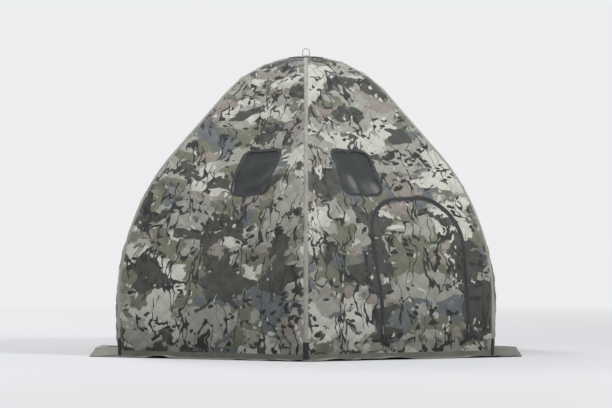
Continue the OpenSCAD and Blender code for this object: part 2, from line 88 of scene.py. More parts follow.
BINDING_W = 0.020
PANE_LAP = 0.014
VENT_LAP = 0.028
ZIP_SLIT = 0.006
ZIP_LAP = 0.011
PULL_L = 0.062

SIDES = 6
TURN = 2 * pi / SIDES
HALF = TURN / 2
FRONT = -pi / 2
PANEL_NAMES = ["front_right", "right", "back_right", "back_left", "left", "front_left"]
RIB_NAMES = ["front", "right_front", "right_back", "back", "left_back", "left_front"]

# The rib line, from the ground to the crown

FRAME_IN = (CLOTH_T + SOCKET_R + FRAME_GAP) / cos(HALF)
CROWN_IN = CROWN_R - FRAME_IN
ROOT_SLOPE = asin(ROD_END_R / CROWN_IN)
PIN_DROP = CROWN_R - CROWN_IN * cos(ROOT_SLOPE) - ROD_START * sin(ROOT_SLOPE)
RIB_TOP = HUT_H - PATCH_T - LAYER_GAP - PLATE_T - HINGE_GAP - EYE_R + PIN_DROP
BEND = pi / 2 - PITCH
RAFTER_R = CORNER_R - SHOULDER_R * (1 - cos(BEND))
RAFTER_L = (RAFTER_R - CROWN_R * sin(PITCH)) / cos(PITCH)
RAFTER_Z = RIB_TOP - CROWN_R * (1 - cos(PITCH)) - RAFTER_L * sin(PITCH)
LEG_H = RAFTER_Z - SHOULDER_R * sin(BEND)
CROWN_EDGE = asin(CROWN_HOLE_R / CROWN_R)
SHOULDER_L = SHOULDER_R * BEND
RAFTER_END = LEG_H + SHOULDER_L + RAFTER_L
GIRTH = RAFTER_END + CROWN_R * (PITCH - CROWN_EDGE)
WALL_R = CORNER_R * cos(HALF)


def rib_line(girth):
    """Radius, height and angle of the outward normal at distances along the rib line from the ground."""
    g = np.asarray(girth, float)
    shoulder = np.clip((g - LEG_H) / SHOULDER_R, 0, BEND)
    rafter = np.clip(g - LEG_H - SHOULDER_L, 0, RAFTER_L)
    crown = np.maximum(g - RAFTER_END, 0) / CROWN_R
    r = CORNER_R - SHOULDER_R * (1 - np.cos(shoulder)) - rafter * cos(PITCH)
    z = np.minimum(g, LEG_H) + SHOULDER_R * np.sin(shoulder) + rafter * sin(PITCH)
    r = r - CROWN_R * (cos(BEND) - np.cos(BEND + crown))
    z = z + CROWN_R * (np.sin(BEND + crown) - sin(BEND))
    return r, z, shoulder + crown


def half_width(girth):
    """Half the width of a panel at a distance up its girth."""
    return rib_line(girth)[0] * sin(HALF) - SEAM_GAP / 2


def stacked(*parts):
    """Numbers and arrays side by side along a new last axis, stretched to one shape."""
    return np.stack(np.broadcast_arrays(*parts), axis=-1)


def unit(vectors):
    """Vectors of the same directions and a length of one."""
    return vectors / np.linalg.norm(vectors, axis=-1, keepdims=True)


def run_along(path):
    """Distance along a path from its first point to each of its points."""
    return np.cumsum(np.linalg.norm(np.diff(path, axis=0, prepend=path[:1]), axis=1))


def normals(points):
    """Directions square to a grid of points."""
    return unit(np.cross(np.gradient(points, axis=1), np.gradient(points, axis=0)))


def taut_panel(girth, across):
    """Points of a panel's outer face before its cloth settles, with the panel's outward normal along +X."""
    r, z, angle = rib_line(girth)
    lean = np.sqrt(np.cos(angle) ** 2 + (cos(HALF) * np.sin(angle)) ** 2)
    dip = PANEL_SAG * (np.sin(pi * girth / GIRTH) * (1 - across ** 2)) ** 2
    return stacked(
        r * cos(HALF) - dip * np.cos(angle) / lean,
        across * (r * sin(HALF) - SEAM_GAP / 2),
        z - dip * cos(HALF) * np.sin(angle) / lean,
    )


def panel_grid(rows, cols):
    """An even grid over a panel: girths, and shares across the panel from -1 to 1."""
    return np.meshgrid(np.linspace(0, GIRTH, rows), np.linspace(-1, 1, cols), indexing="ij")


def grid_faces(rows, cols, ring_rows=False, ring_cols=False):
    """Faces between the points of a grid, row by row. The last row or column of a ring joins its first."""
    faces = []
    for i in range(rows if ring_rows else rows - 1):
        here, there = i * cols, (i + 1) % rows * cols
        for j in range(cols if ring_cols else cols - 1):
            ahead = (j + 1) % cols
            faces.append((here + j, here + ahead, there + ahead, there + j))
    return faces


def panel_angle(k):
    """Direction of a panel's outward normal in plan."""
    return FRONT + HALF + k * TURN


def turned(points, angle):
    """Points turned about the vertical axis."""
    c, s = cos(angle), sin(angle)
    return points @ np.array([[c, s, 0], [-s, c, 0], [0, 0, 1]])


def smooth(x):
    """0 below 0, 1 above 1 and a soft step between."""
    x = np.clip(x, 0, 1)
    return x * x * (3 - 2 * x)


def between(low, high, share):
    """The value at a share of the way from one to another."""
    return low * (1 - share) + high * share


def noise(x, y, seed):
    """Smooth value noise from -1 to 1, with one lattice cell to a unit."""
    x, y = np.broadcast_arrays(np.asarray(x, float), np.asarray(y, float))
    xi, yi = np.floor(x).astype(np.int64), np.floor(y).astype(np.int64)
    fx, fy = smooth(x - xi), smooth(y - yi)

    def lattice(i, j):
        h = (i * 374761393 + j * 668265263 + seed * 974634777) & 0xFFFFFFFF
        h = ((h ^ (h >> 13)) * 1274126177) & 0xFFFFFFFF
        return ((h ^ (h >> 16)) & 0xFFFF) / 32767.5 - 1

    low = between(lattice(xi, yi), lattice(xi + 1, yi), fx)
    high = between(lattice(xi, yi + 1), lattice(xi + 1, yi + 1), fx)
    return between(low, high, fy)


# Door, windows and vents

class Opening:
    """A hole with round corners in a panel, drawn on a plane square to the panel's normal at a height."""

    def __init__(self, panel, z, off, foot, width, height, foot_r, top_r):
        self.panel, self.off = panel, off
        self.foot, self.width, self.height = foot, width, height
        self.foot_r, self.top_r = foot_r, top_r
        girth = np.linspace(0, GIRTH, 2000)
        r, _, angle = rib_line(np.interp(z, rib_line(girth)[1], girth))
        tilt = atan2(cos(HALF) * sin(angle), cos(angle))
        self.origin = np.array([float(r) * cos(HALF), off, z])
        self.up = np.array([-sin(tilt), 0, cos(tilt)])

    def plan(self, points):
        """Where points of the taut panel lie on the opening's plane: to the right and up."""
        return points[..., 1] - self.off, (points - self.origin) @ self.up

    def outside(self, a, b):
        """Distance outside the opening's outline, negative inside it."""
        middle = self.foot + self.height / 2
        r = np.where(b > middle, self.top_r, self.foot_r)
        qa = np.abs(a) - self.width / 2 + r
        qb = np.abs(b - middle) - self.height / 2 + r
        return np.minimum(np.maximum(qa, qb), 0) + np.hypot(np.maximum(qa, 0), np.maximum(qb, 0)) - r

    def on_cloth(self, a, b):
        """Girth and share across the panel of places on the opening's plane."""
        low, high = np.zeros(np.shape(a)), np.full(np.shape(a), GIRTH)
        for _ in range(36):
            g = (low + high) / 2
            above = (taut_panel(g, (a + self.off) / half_width(g)) - self.origin) @ self.up > b
            high = np.where(above, g, high)
            low = np.where(above, low, g)
        return g, (a + self.off) / half_width(g)

    def outline(self, step, closed=True):
        """Points of the outline with their outward directions, anticlockwise from the foot of the right side.

        An open outline leaves out the straight foot between the lower corners.
        """
        corners = []
        for right, up, quarter in ((1, -1, 3), (1, 1, 0), (-1, 1, 1), (-1, -1, 2)):
            r, edge = (self.top_r, self.foot + self.height) if up > 0 else (self.foot_r, self.foot)
            corners.append((right * (self.width / 2 - r), edge - up * r, r, quarter * pi / 2))
        rows = []
        for n, (ca, cb, r, start) in enumerate(corners):
            for t in start + np.linspace(0, pi / 2, max(3, round(r * pi / 2 / step)) + 1):
                rows.append((ca + r * cos(t), cb + r * sin(t), cos(t), sin(t)))
            if n == 3 and not closed:
                break
            na, nb, nr, turn = corners[(n + 1) % 4]
            ahead = np.array([na + nr * cos(turn), nb + nr * sin(turn)])
            here, out = np.array(rows[-1][:2]), rows[-1][2:]
            count = max(1, round(dist(here, ahead) / step))
            rows += [(*(here + (ahead - here) * k / count), *out) for k in range(1, count)]
        return np.array(rows)


WINDOW_H = 0.310
VENT_H = 0.075
DOOR = Opening("front_right", 0, 0.170, 0.080, 0.620, 0.900, 0.060, 0.240)
WINDOWS = [
    Opening(panel, 1.180, side * 0.125, -WINDOW_H / 2, 0.260, WINDOW_H, 0.045, 0.045)
    for panel, side in (("front_right", -1), ("front_left", 1), ("back_right", 1), ("back_left", -1))
]
VENTS = [Opening(panel, 1.430, 0, -VENT_H / 2, 0.150, VENT_H, 0.001, 0.036) for panel in ("right", "left")]
SEWN_HALF = DOOR.width / 2 - DOOR.foot_r


def openings(panel):
    """The openings of a panel, each with how far its trim reaches outside and inside its outline."""
    found = [(w, BINDING_W, 0) for w in WINDOWS if w.panel == panel]
    found += [(v, VENT_LAP, 0) for v in VENTS if v.panel == panel]
    if DOOR.panel == panel:
        found.append((DOOR, ZIP_LAP, ZIP_SLIT + ZIP_LAP))
    return found


# Cloth that settles between the ribs

SIM_ROWS, SIM_COLS = 72, 42
SIM_FRAMES = 28
SIM_SLACK = 0.0035
SIM_REACH = 0.026
SIM_PUSH = 0.004
SIM_GRAVITY = 0.5
SIM_CLOTH = {
    "quality": 5, "mass": 0.12, "tension_stiffness": 60, "compression_stiffness": 60, "shear_stiffness": 30,
    "bending_stiffness": 1.5, "air_damping": 4, "vertex_group_mass": "held", "shrink_min": -SIM_SLACK,
}


def settle():
    """How far each panel's cloth moves when it hangs a little slack between its ribs, on a coarse grid."""
    girth, across = panel_grid(SIM_ROWS, SIM_COLS)
    start = taut_panel(girth, across)
    count = SIM_ROWS * SIM_COLS
    grid = np.arange(count).reshape(SIM_ROWS, SIM_COLS)
    quads = np.array(grid_faces(SIM_ROWS, SIM_COLS))
    points = []
    for k in range(SIDES):
        # A breath of unevenness, so that each panel buckles in its own way
        push = SIM_PUSH * noise(girth * 5 + 3 * k, across * 4, 11 + k) * (1 - across ** 2)
        out = turned(np.array([1.0, 0, 0.5]), panel_angle(k))
        points.append(turned(start.reshape(-1, 3), panel_angle(k)) + push.reshape(-1, 1) * out)
    mesh = bpy.data.meshes.new("settling")
    faces = np.concatenate([quads + k * count for k in range(SIDES)])
    mesh.from_pydata(np.concatenate(points).tolist(), [], faces.tolist())
    cloth = bpy.data.objects.new("settling", mesh)
    scene = bpy.context.scene
    scene.collection.objects.link(cloth)
    edge = np.concatenate([grid[0], grid[-1], grid[1:-1, 0], grid[1:-1, -1]])
    held = cloth.vertex_groups.new(name="held")
    held.add([int(v) + k * count for k in range(SIDES) for v in edge], 1.0, "REPLACE")
    settings = cloth.modifiers.new("cloth", "CLOTH").settings
    for name, value in SIM_CLOTH.items():
        setattr(settings, name, value)
    settings.effector_weights.gravity = SIM_GRAVITY
    scene.frame_start, scene.frame_end = 1, SIM_FRAMES
    for number in range(1, SIM_FRAMES + 1):
        scene.frame_set(number)
    done = cloth.evaluated_get(bpy.context.evaluated_depsgraph_get()).to_mesh()
    after = np.empty(len(done.vertices) * 3)
    done.vertices.foreach_get("co", after)
    after = after.reshape(SIDES, count, 3)
    bpy.data.objects.remove(cloth)
    scene.frame_set(1)
    moved = np.array([turned(after[k], -panel_angle(k)) - start.reshape(-1, 3) for k in range(SIDES)])
    moved = moved.reshape(SIDES, SIM_ROWS, SIM_COLS, 3)
    size = np.linalg.norm(moved, axis=-1, keepdims=True)
    # The deepest moves level off softly below the reach
    return moved * np.tanh(size / SIM_REACH) * SIM_REACH / np.maximum(size, 1e-9)


def finer(count, coarse):
    """Catmull-Rom weights that carry values on a coarse even row to count places."""
    place = np.linspace(0, coarse - 1, count)
    cell = np.minimum(place.astype(int), coarse - 2)
    t = place - cell
    t2, t3 = t ** 2, t ** 3
    weights = np.zeros((count, coarse))
    shares = [-t + 2 * t2 - t3, 2 - 5 * t2 + 3 * t3, t + 4 * t2 - 3 * t3, t3 - t2]
    for k, share in enumerate(shares):
        np.add.at(weights, (np.arange(count), np.clip(cell - 1 + k, 0, coarse - 1)), share / 2)
    return weights


ROWS, COLS = 172, 96
QUILT = 0.120
PUFF = 0.0070
# Where each panel is cut from the printed cloth, in whole steps of the quilting
CUT_AT = {"front_right": (34, 26), "right": (62, 12), "back_right": (90, 40),
          "back_left": (120, 10), "left": (150, 60), "front_left": (38, 0)}
# How round the pillows are, and how wide the flat strips along seams and trim
PILLOW_ROUND = 0.6
SEAM_CALM, CALM_SOFT, TRIM_CALM = 0.016, 0.03, 0.022

FOLD_MEAN = 0.33
# Heights of the creases, and the steps from one to the next
PUCKER_H, PUCKER_STEP = 0.0030, 0.06
PULL_H, HUB_PULL_H = 0.0110, 0.0075
FOOT_H, FOOT_STEP = 0.0030, 0.07
BROAD_H = 0.0050
SLANT_H, SLANT_STEP = 0.0120, 0.19


def fold(x):
    """Height of folds with sharp crests and broad hollows, one to each half turn, about zero on average."""
    return np.exp(-(np.sin(x) / 0.5) ** 2) - FOLD_MEAN


def creases(girth, across, k):
    """Height of the creases that sewing and pull make in a panel's cloth."""
    wide = half_width(girth)
    from_rib = wide * (1 - np.abs(across))
    side = np.sign(across)
    top = GIRTH - girth
    # Puckers along the rib seams
    drift = 4.0 * noise(girth * 5, side * 3, 31 + k)
    pucker = fold(pi * girth / PUCKER_STEP + drift + k) + FOLD_MEAN
    pucker *= PUCKER_H * np.exp(-from_rib / 0.050)
    pucker *= 0.55 + 0.45 * noise(girth * 9, side, 57 + k)
    # Pulls that fan out from the corner anchors and from the hub
    reach = np.hypot(girth, from_rib)
    fan = np.arctan2(girth, from_rib + 1e-9)
    bent = 6.5 * fan + 1.7 * k + side + 0.8 * noise(fan * 3, reach * 4, 41 + k)
    pulls = PULL_H * fold(bent) * smooth(reach / 0.12) * np.exp(-(reach / 0.48) ** 2)
    bent = across * 5.5 + 2 * k + 0.6 * noise(across * 3, top * 4, 67 + k)
    ribs = HUB_PULL_H * fold(bent) * (1 - across ** 2) * np.exp(-(top / 0.5) ** 2) * smooth(top / 0.1)
    # The foot is sewn to the skirt
    waves = 2 * pi * across * wide / FOOT_STEP + 3 * noise(across * 6, 0, 77 + k)
    foot = FOOT_H * np.exp(-girth / 0.07) * np.sin(waves)
    broad = BROAD_H * noise(girth * 3.1 + 9 * k, across * 2.3, 91 + k) * (1 - across ** 2)
    # Loose cloth hangs in soft slanting folds between the ribs
    slant = across * wide + 0.35 * girth * cos(2.1 * k)
    drift = 2.6 * noise(girth * 1.6, across * 1.3, 103 + k)
    share = np.maximum(noise(girth * 1.9 + 4 * k, across * 1.7, 113 + k) + 0.25, 0)
    broad = broad + SLANT_H * share * fold(pi * slant / SLANT_STEP + drift) * (1 - across ** 4)
    free = smooth(from_rib / 0.006) * smooth((girth - SKIRT_UP) / 0.02) * smooth((top - PATCH_LAP) / 0.02)
    return (pucker + ribs + foot * (1 - across ** 2) + broad + pulls * (1 - across ** 4)) * free


class Panel:
    """One settled panel, as a fine grid of points and of outward directions that stay mitred at the ribs."""

    def __init__(self, k, moved):
        self.name, self.number = PANEL_NAMES[k], k
        self.girth, self.across = panel_grid(ROWS, COLS)
        self.taut = taut_panel(self.girth, self.across)
        shift = np.einsum("ri,ijc,sj->rsc", finer(ROWS, SIM_ROWS), moved, finer(COLS, SIM_COLS))
        # The skirt and the crown patch hold the ends of the cloth flat
        free = smooth((self.girth - SKIRT_UP) / 0.09) * smooth((GIRTH - PATCH_LAP - self.girth) / 0.06)
        points = self.taut + shift * free[..., None]
        points = points + normals(points) * creases(self.girth, self.across, k)[..., None]
        self.points = turned(points, panel_angle(k))
        self.out = turned(self.mitred(normals(points)), panel_angle(k))

    def mitred(self, normal):
        """Outward directions that turn into the rib's own plane at the panel's edges."""
        side = np.where(self.across < 0, -1.0, 1.0)
        lift = (normal[..., 0] * side * sin(HALF)) / cos(HALF) - normal[..., 1]
        near = smooth((np.abs(self.across) - 0.96) / 0.04)
        return normal + np.array([0, 1.0, 0]) * (lift * near)[..., None]

    def trim_distance(self, girth, across):
        """Distance to the nearest trim that is sewn on the panel."""
        near = np.full(girth.shape, 9.0)
        flat = taut_panel(girth, across)
        for opening, reach_out, reach_in in openings(self.name):
            d = opening.outside(*opening.plan(flat))
            near = np.minimum(near, np.where(d > 0, d - reach_out, -reach_in - d))
        return np.maximum(near, 0)

    def at(self, girth, across, out=0.0):
        """Places on the settled cloth, at heights above its outer face."""
        i = np.clip(np.asarray(girth) / GIRTH, 0, 1) * (ROWS - 1)
        j = (np.clip(across, -1, 1) + 1) / 2 * (COLS - 1)
        i0, j0 = np.minimum(i.astype(int), ROWS - 2), np.minimum(j.astype(int), COLS - 2)
        fi, fj = (i - i0)[..., None], (j - j0)[..., None]

        def sample(field):
            low = between(field[i0, j0], field[i0, j0 + 1], fj)
            high = between(field[i0 + 1, j0], field[i0 + 1, j0 + 1], fj)
            return between(low, high, fi)

        return sample(self.points) + sample(self.out) * np.broadcast_to(out, i.shape)[..., None]

    def quilting(self, girth, across):
        """Share of the full puff of the quilting, which is flat at its stitches and near seams and trim."""
        wide = half_width(girth)
        u = across * wide
        pillow = np.abs(np.sin(pi * (u + girth) / QUILT) * np.sin(pi * (u - girth) / QUILT)) ** PILLOW_ROUND
        calm = smooth((wide - np.abs(u) - SEAM_CALM) / CALM_SOFT) * smooth((girth - SKIRT_UP) / CALM_SOFT)
        calm = calm * smooth((GIRTH - girth - PATCH_LAP) / CALM_SOFT)
        return pillow * calm * smooth(self.trim_distance(girth, across) / TRIM_CALM)

    def plan(self, girth, across):
        """Places on the printed cloth, in metres."""
        right, up = CUT_AT[self.name]
        return stacked(across * half_width(girth) + right * QUILT, girth + up * QUILT)

    def rib_plan(self, girth, across):
        """Distance from the nearest rib seam and height up the girth."""
        return stacked(half_width(girth) * (1 - np.abs(across)), girth)


# Meshes

def clipped(grid_a, grid_b, keep):
    """The part of a grid where keep is above zero, cut along its zero line: its places, and its faces."""
    places = list(zip(grid_a.ravel().tolist(), grid_b.ravel().tolist()))
    value = keep.ravel().tolist()
    added, faces = {}, []

    def cut(p, q):
        key = (min(p, q), max(p, q))
        if key not in added:
            t = value[p] / (value[p] - value[q])
            places.append(tuple(x + (y - x) * t for x, y in zip(places[p], places[q])))
            added[key] = len(places) - 1
        return added[key]

    for corner in grid_faces(*keep.shape):
        inside = [value[c] > 0 for c in corner]
        if all(inside):
            faces.append(corner)
        elif any(inside):
            face = []
            for c, d in zip(corner, corner[1:] + corner[:1]):
                if value[c] > 0:
                    face.append(c)
                if (value[c] > 0) != (value[d] > 0):
                    face.append(cut(c, d))
            faces.append(tuple(face))
    used, faces = in_use(faces)
    places = np.array([places[c] for c in used])
    return places[:, 0], places[:, 1], faces


def in_use(faces):
    """The points that faces use, and the faces renumbered to them."""
    used = sorted({c for f in faces for c in f})
    renamed = {c: n for n, c in enumerate(used)}
    return used, [tuple(renamed[c] for c in f) for f in faces]


def shell(top, bottom, faces):
    """A closed skin between two sheets: points, faces, and which faces are the lower sheet's."""
    count = len(top)
    edges = dict.fromkeys((c, d) for f in faces for c, d in zip(f, f[1:] + f[:1]))
    under = [tuple(c + count for c in reversed(f)) for f in faces]
    sides = [(d, c, c + count, d + count) for c, d in edges if (d, c) not in edges]
    return np.concatenate([top, bottom]), list(faces) + under + sides, range(len(faces), 2 * len(faces))


def piece(name, points, faces, materials, uvs, lower=(), *, slot, replaces=(), sharp=40, check=False):
    """A mesh object that rides on the body. uvs maps a layer's name to places, given once for both sheets."""
    mesh = bpy.data.meshes.new(name)
    points = np.asarray(points, float).reshape(-1, 3)
    mesh.from_pydata(points.tolist(), [], [tuple(f) for f in faces])
    for material in materials:
        mesh.materials.append(material)
    corner = np.empty(len(mesh.loops), int)
    mesh.loops.foreach_get("vertex_index", corner)
    for layer, places in uvs.items():
        places = np.resize(np.asarray(places, float), (len(points), 2))
        mesh.uv_layers.new(name=layer).data.foreach_set("uv", places[corner].ravel())
    if len(lower):
        index = np.zeros(len(faces), int)
        index[list(lower)] = 1
        mesh.polygons.foreach_set("material_index", index)
    mesh.polygons.foreach_set("use_smooth", np.ones(len(faces), bool))
    mesh.update()
    if check:
        outward(mesh)
    mesh.set_sharp_from_angle(angle=radians(sharp))
    made = bpy.data.objects.new(name, mesh)
    bpy.context.scene.collection.objects.link(made)
    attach(made, BODY)
    if replaces:
        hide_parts(*replaces)
    return made


def skin(name, panel, girth, across, faces, heights, materials, **facts):
    """A closed skin over part of a panel, between two heights above its cloth, of one material or of two."""
    points, faces, lower = shell(*(panel.at(girth, across, height) for height in heights), faces)
    uvs = {"cloth": panel.plan(girth, across)}
    if len(materials) == 1:
        return piece(name, points, faces, materials, uvs, **facts)
    uvs["rib"] = panel.rib_plan(girth, across)
    return piece(name, points, faces, materials, uvs, lower, **facts)


def outward(mesh):
    """Turns the faces of closed forms outwards."""
    bm = bmesh.new()
    bm.from_mesh(mesh)
    bmesh.ops.recalc_face_normals(bm, faces=bm.faces)
    bm.to_mesh(mesh)
    bm.free()


def first(node, n):
    """The node that a row of like pieces replaces: the first piece stands for it."""
    return [] if n else [node]


class Heap:
    """Gathers many small forms into the points and faces of one mesh."""

    def __init__(self):
        self.points, self.faces, self.plans = [], [], []
        self.count = 0

    def add(self, points, faces, plan=None):
        points = np.asarray(points, float).reshape(-1, 3)
        self.points.append(points)
        self.faces += [tuple(int(c) + self.count for c in f) for f in faces]
        self.plans.append(np.zeros((len(points), 2)) if plan is None else plan)
        self.count += len(points)

    def add_row(self, forms, faces):
        """Adds like forms that share one list of faces."""
        count, size = forms.shape[:2]
        self.add(forms, [tuple(c + size * n for c in f) for n in range(count) for f in faces])

    def piece(self, name, materials, **facts):
        points, plan = np.concatenate(self.points), np.concatenate(self.plans)
        return piece(name, points, self.faces, materials, {"cloth": plan}, check=True, **facts)


def loft(rings, closed_path=False):
    """Faces of a tube through rings of points of one size, with flat ends if the path is open."""
    count, size = rings
    faces = grid_faces(count, size, closed_path, ring_cols=True)
    if not closed_path:
        faces.append(tuple(range(size)))
        faces.append(tuple((count - 1) * size + j for j in reversed(range(size))))
    return faces


def beside(path, out):
    """Places at distances outward from each point of an opening's outline."""
    path = path[:, None]
    return path[..., 0] + path[..., 2] * out, path[..., 1] + path[..., 3] * out


def band(name, panel, opening, profile, step, material, closed=True, **facts):
    """A trim that follows an opening's outline. Its profile is a closed line of (outward, height)."""
    path = opening.outline(step, closed)
    profile = np.array(profile)
    a, b = beside(path, profile[:, 0])
    plan = stacked(profile[:, 0], run_along(path[:, :2])[:, None])
    points = panel.at(*opening.on_cloth(a, b), profile[:, 1])
    return piece(name, points, loft(a.shape, closed), [material], {"cloth": plan}, check=True, **facts)


STITCH_L, STITCH_STEP, STITCH_T = 0.0036, 0.0052, 0.0007
OCTAHEDRON = [(0, 1, 4), (1, 2, 4), (2, 3, 4), (3, 0, 4), (1, 0, 5), (2, 1, 5), (3, 2, 5), (0, 3, 5)]
BOX = [(0, 3, 2, 1), (4, 5, 6, 7), (0, 1, 5, 4), (1, 2, 6, 5), (2, 3, 7, 6), (3, 0, 4, 7)]


def stitches(heap, points, out):
    """Thread that shows as a row of short stitches along a line of points."""
    run = run_along(points)
    count = int(run[-1] / STITCH_STEP)
    middle = (np.arange(count) + 0.5) * run[-1] / count

    def along(values, where):
        return stacked(*(np.interp(where, run, values[:, c]) for c in range(3)))

    start, end = along(points, middle - STITCH_L / 2), along(points, middle + STITCH_L / 2)
    centre, up = (start + end) / 2, unit(along(out, middle)) * STITCH_T
    side = unit(np.cross(end - start, up)) * STITCH_T
    forms = [start, centre + side, end, centre - side, centre + up, centre - up / 2]
    heap.add_row(np.stack(forms, axis=1), OCTAHEDRON)


def sew(heap, panel, girth, across, out):
    """A row of stitches on a panel, at a height above its cloth."""
    stitches(heap, panel.at(girth, across, out), panel.at(girth, across, 1.0) - panel.at(girth, across))


def sew_round(heap, panel, opening, line, g, out):
    """A row of stitches that follows an opening's outline at a distance."""
    a, b = beside(line, g)
    sew(heap, panel, *opening.on_cloth(a[:, 0], b[:, 0]), out)


# Finishes

def tint(*levels):
    """A colour as it shows on screen, from 0 to 255, in the linear values that shaders take."""
    return (*(((c / 255 + 0.055) / 1.055) ** 2.4 if c > 10 else c / 255 / 12.92 for c in levels), 1.0)


class Wire:
    """An output in a node tree. A sum or product of it adds the node that works it out."""

    def __init__(self, nodes, socket):
        self.nodes, self.socket = nodes, socket

    def __add__(self, other):
        return self.nodes.math("ADD", self, other)

    def __sub__(self, other):
        return self.nodes.math("SUBTRACT", self, other)

    def __rsub__(self, other):
        return self.nodes.math("SUBTRACT", other, self)

    def __mul__(self, other):
        return self.nodes.math("MULTIPLY", self, other)

    def __truediv__(self, other):
        return self.nodes.math("DIVIDE", self, other)

    def __abs__(self):
        return self.nodes.math("ABSOLUTE", self)


class Nodes:
    """A shader tree that is put together in code."""

    def __init__(self, tree):
        self.tree = tree

    def put(self, socket, value):
        if isinstance(value, Wire):
            self.tree.links.new(value.socket, socket)
        else:
            socket.default_value = value

    def make(self, kind, inputs, output=0, **settings):
        """An output of a new node, with the node's inputs set or linked."""
        node = self.tree.nodes.new("ShaderNode" + kind)
        for name, value in settings.items():
            setattr(node, name, value)
        for name, value in inputs.items():
            self.put(node.inputs[name], value)
        return Wire(self, node.outputs[output])

    def uv(self, layer="cloth"):
        return self.make("UVMap", {}, uv_map=layer)

    def place(self):
        return self.make("TexCoord", {}, "Object")

    def ray(self, name):
        return self.make("LightPath", {}, name)

    def math(self, operation, *values):
        return self.make("Math", dict(enumerate(values)), operation=operation)

    def vector(self, operation, *values, output=0):
        return self.make("VectorMath", dict(enumerate(values)), output, operation=operation)

    def parts(self, vector):
        node = self.make("SeparateXYZ", {0: vector}).socket.node
        return [Wire(self, socket) for socket in node.outputs]

    def scaled(self, vector, scale, shift=(0, 0, 0), turn=0.0):
        inputs = {"Vector": vector, "Scale": scale, "Location": shift, "Rotation": (0, 0, turn)}
        return self.make("Mapping", inputs)

    def noise(self, vector, scale, detail=2.0, rough=0.5, output="Fac"):
        inputs = {"Vector": vector, "Scale": scale, "Detail": detail, "Roughness": rough}
        return self.make("TexNoise", inputs, output)

    def cells(self, vector, scale):
        return self.make("TexVoronoi", {"Vector": vector, "Scale": scale}, "Distance")

    def above(self, value, edge, soft):
        """0 where a value is below an edge and 1 above it, with a soft step."""
        inputs = {"Value": value, "From Min": edge - soft, "From Max": edge + soft}
        return self.make("MapRange", inputs, interpolation_type="SMOOTHSTEP")

    def ramp(self, value, low, high, to_low=0.0, to_high=1.0):
        inputs = {"Value": value, "From Min": low, "From Max": high, "To Min": to_low, "To Max": to_high}
        return self.make("MapRange", inputs)

    def mix(self, share, first, second):
        return self.make("Mix", {0: share, 6: first, 7: second}, 2, data_type="RGBA")

    def shade(self, colour, factor):
        """A colour times a grey factor."""
        return self.vector("MULTIPLY", colour, self.make("CombineXYZ", {0: factor, 1: factor, 2: factor}))

    def threads(self, plan, pitch):
        """Height of a plain weave with threads at a pitch."""
        u, v, _ = self.parts(plan)
        return self.math("SINE", u * (pi / pitch)) * self.math("SINE", v * (pi / pitch))


class Finish(Nodes):
    """A material with constant values on its shader, to which nodes are added."""

    def __init__(self, name, **constants):
        self.material = bpy.data.materials.new(name)
        self.material.use_nodes = True
        super().__init__(self.material.node_tree)
        self.skin = self.tree.nodes["Principled BSDF"]
        for socket, value in constants.items():
            self.skin.inputs[socket.replace("_", " ")].default_value = value

    def done(self, colour, rough=None, height=None):
        self.put(self.skin.inputs["Base Color"], colour)
        if rough is not None:
            self.put(self.skin.inputs["Roughness"], rough)
        if height is not None:
            bump = self.make("Bump", {"Height": height, "Distance": 1.0, "Strength": 1.0})
            self.put(self.skin.inputs["Normal"], bump)
        return self.material


OLIVE = tint(99, 101, 86)
PALE = tint(172, 172, 163)
LIGHT = tint(137, 138, 129)
TAN = tint(127, 120, 113)
SLATE = tint(91, 95, 97)
SHADE = tint(62, 64, 59)
DARK = tint(38, 40, 38)
# The print's blotches over its light ground: ink, scale, shift and the level above which the noise is printed
BLOTCHES = ((OLIVE, 2.2, 3.3, 0.505), (SLATE, 2.7, 17.0, 0.565), (TAN, 2.9, 29.0, 0.57),
            (PALE, 2.6, 41.0, 0.56), (SHADE, 2.8, 57.0, 0.55))
# Its litter: ink, squash, shift, turn and scale of the cells, their size, and the blotches that they lie in
LITTER = ((DARK, (1, 1.7, 1), (5, 9, 0), 0.5, 15.0, 0.33, (5.0, 71.0, 0.515)),
          (PALE, (1.6, 1, 1), (31, 2, 0), -0.4, 17.0, 0.27, (4.5, 83.0, 0.54)))
STITCH_RUN = 0.008


def quilt(f, plan, colour, height, thread_colour):
    """Adds the quilting's two families of stitched lines to a cloth's colour and height, with painted shade
    along their grooves.
    """
    u, v, _ = f.parts(plan)
    for across, along in ((u + v, u - v), (u - v, u + v)):
        line = abs(f.math("FRACT", across / QUILT + 0.5) - 0.5)
        run = f.math("FRACT", along / STITCH_RUN)
        groove = f.ramp(line, 0.0, 0.030, 1.0, 0.0)
        thread = f.ramp(line, 0.006, 0.012, 1.0, 0.0) * f.above(run, 0.3, 0.08)
        # Painted shade: the cloth is darkened along each stitched groove
        colour = f.shade(colour, f.ramp(groove, 0.0, 1.0, 1.0, 0.83))
        colour = f.mix(thread * 0.65, colour, thread_colour)
        height = height - groove * 0.0009 + thread * 0.0005
    return colour, height


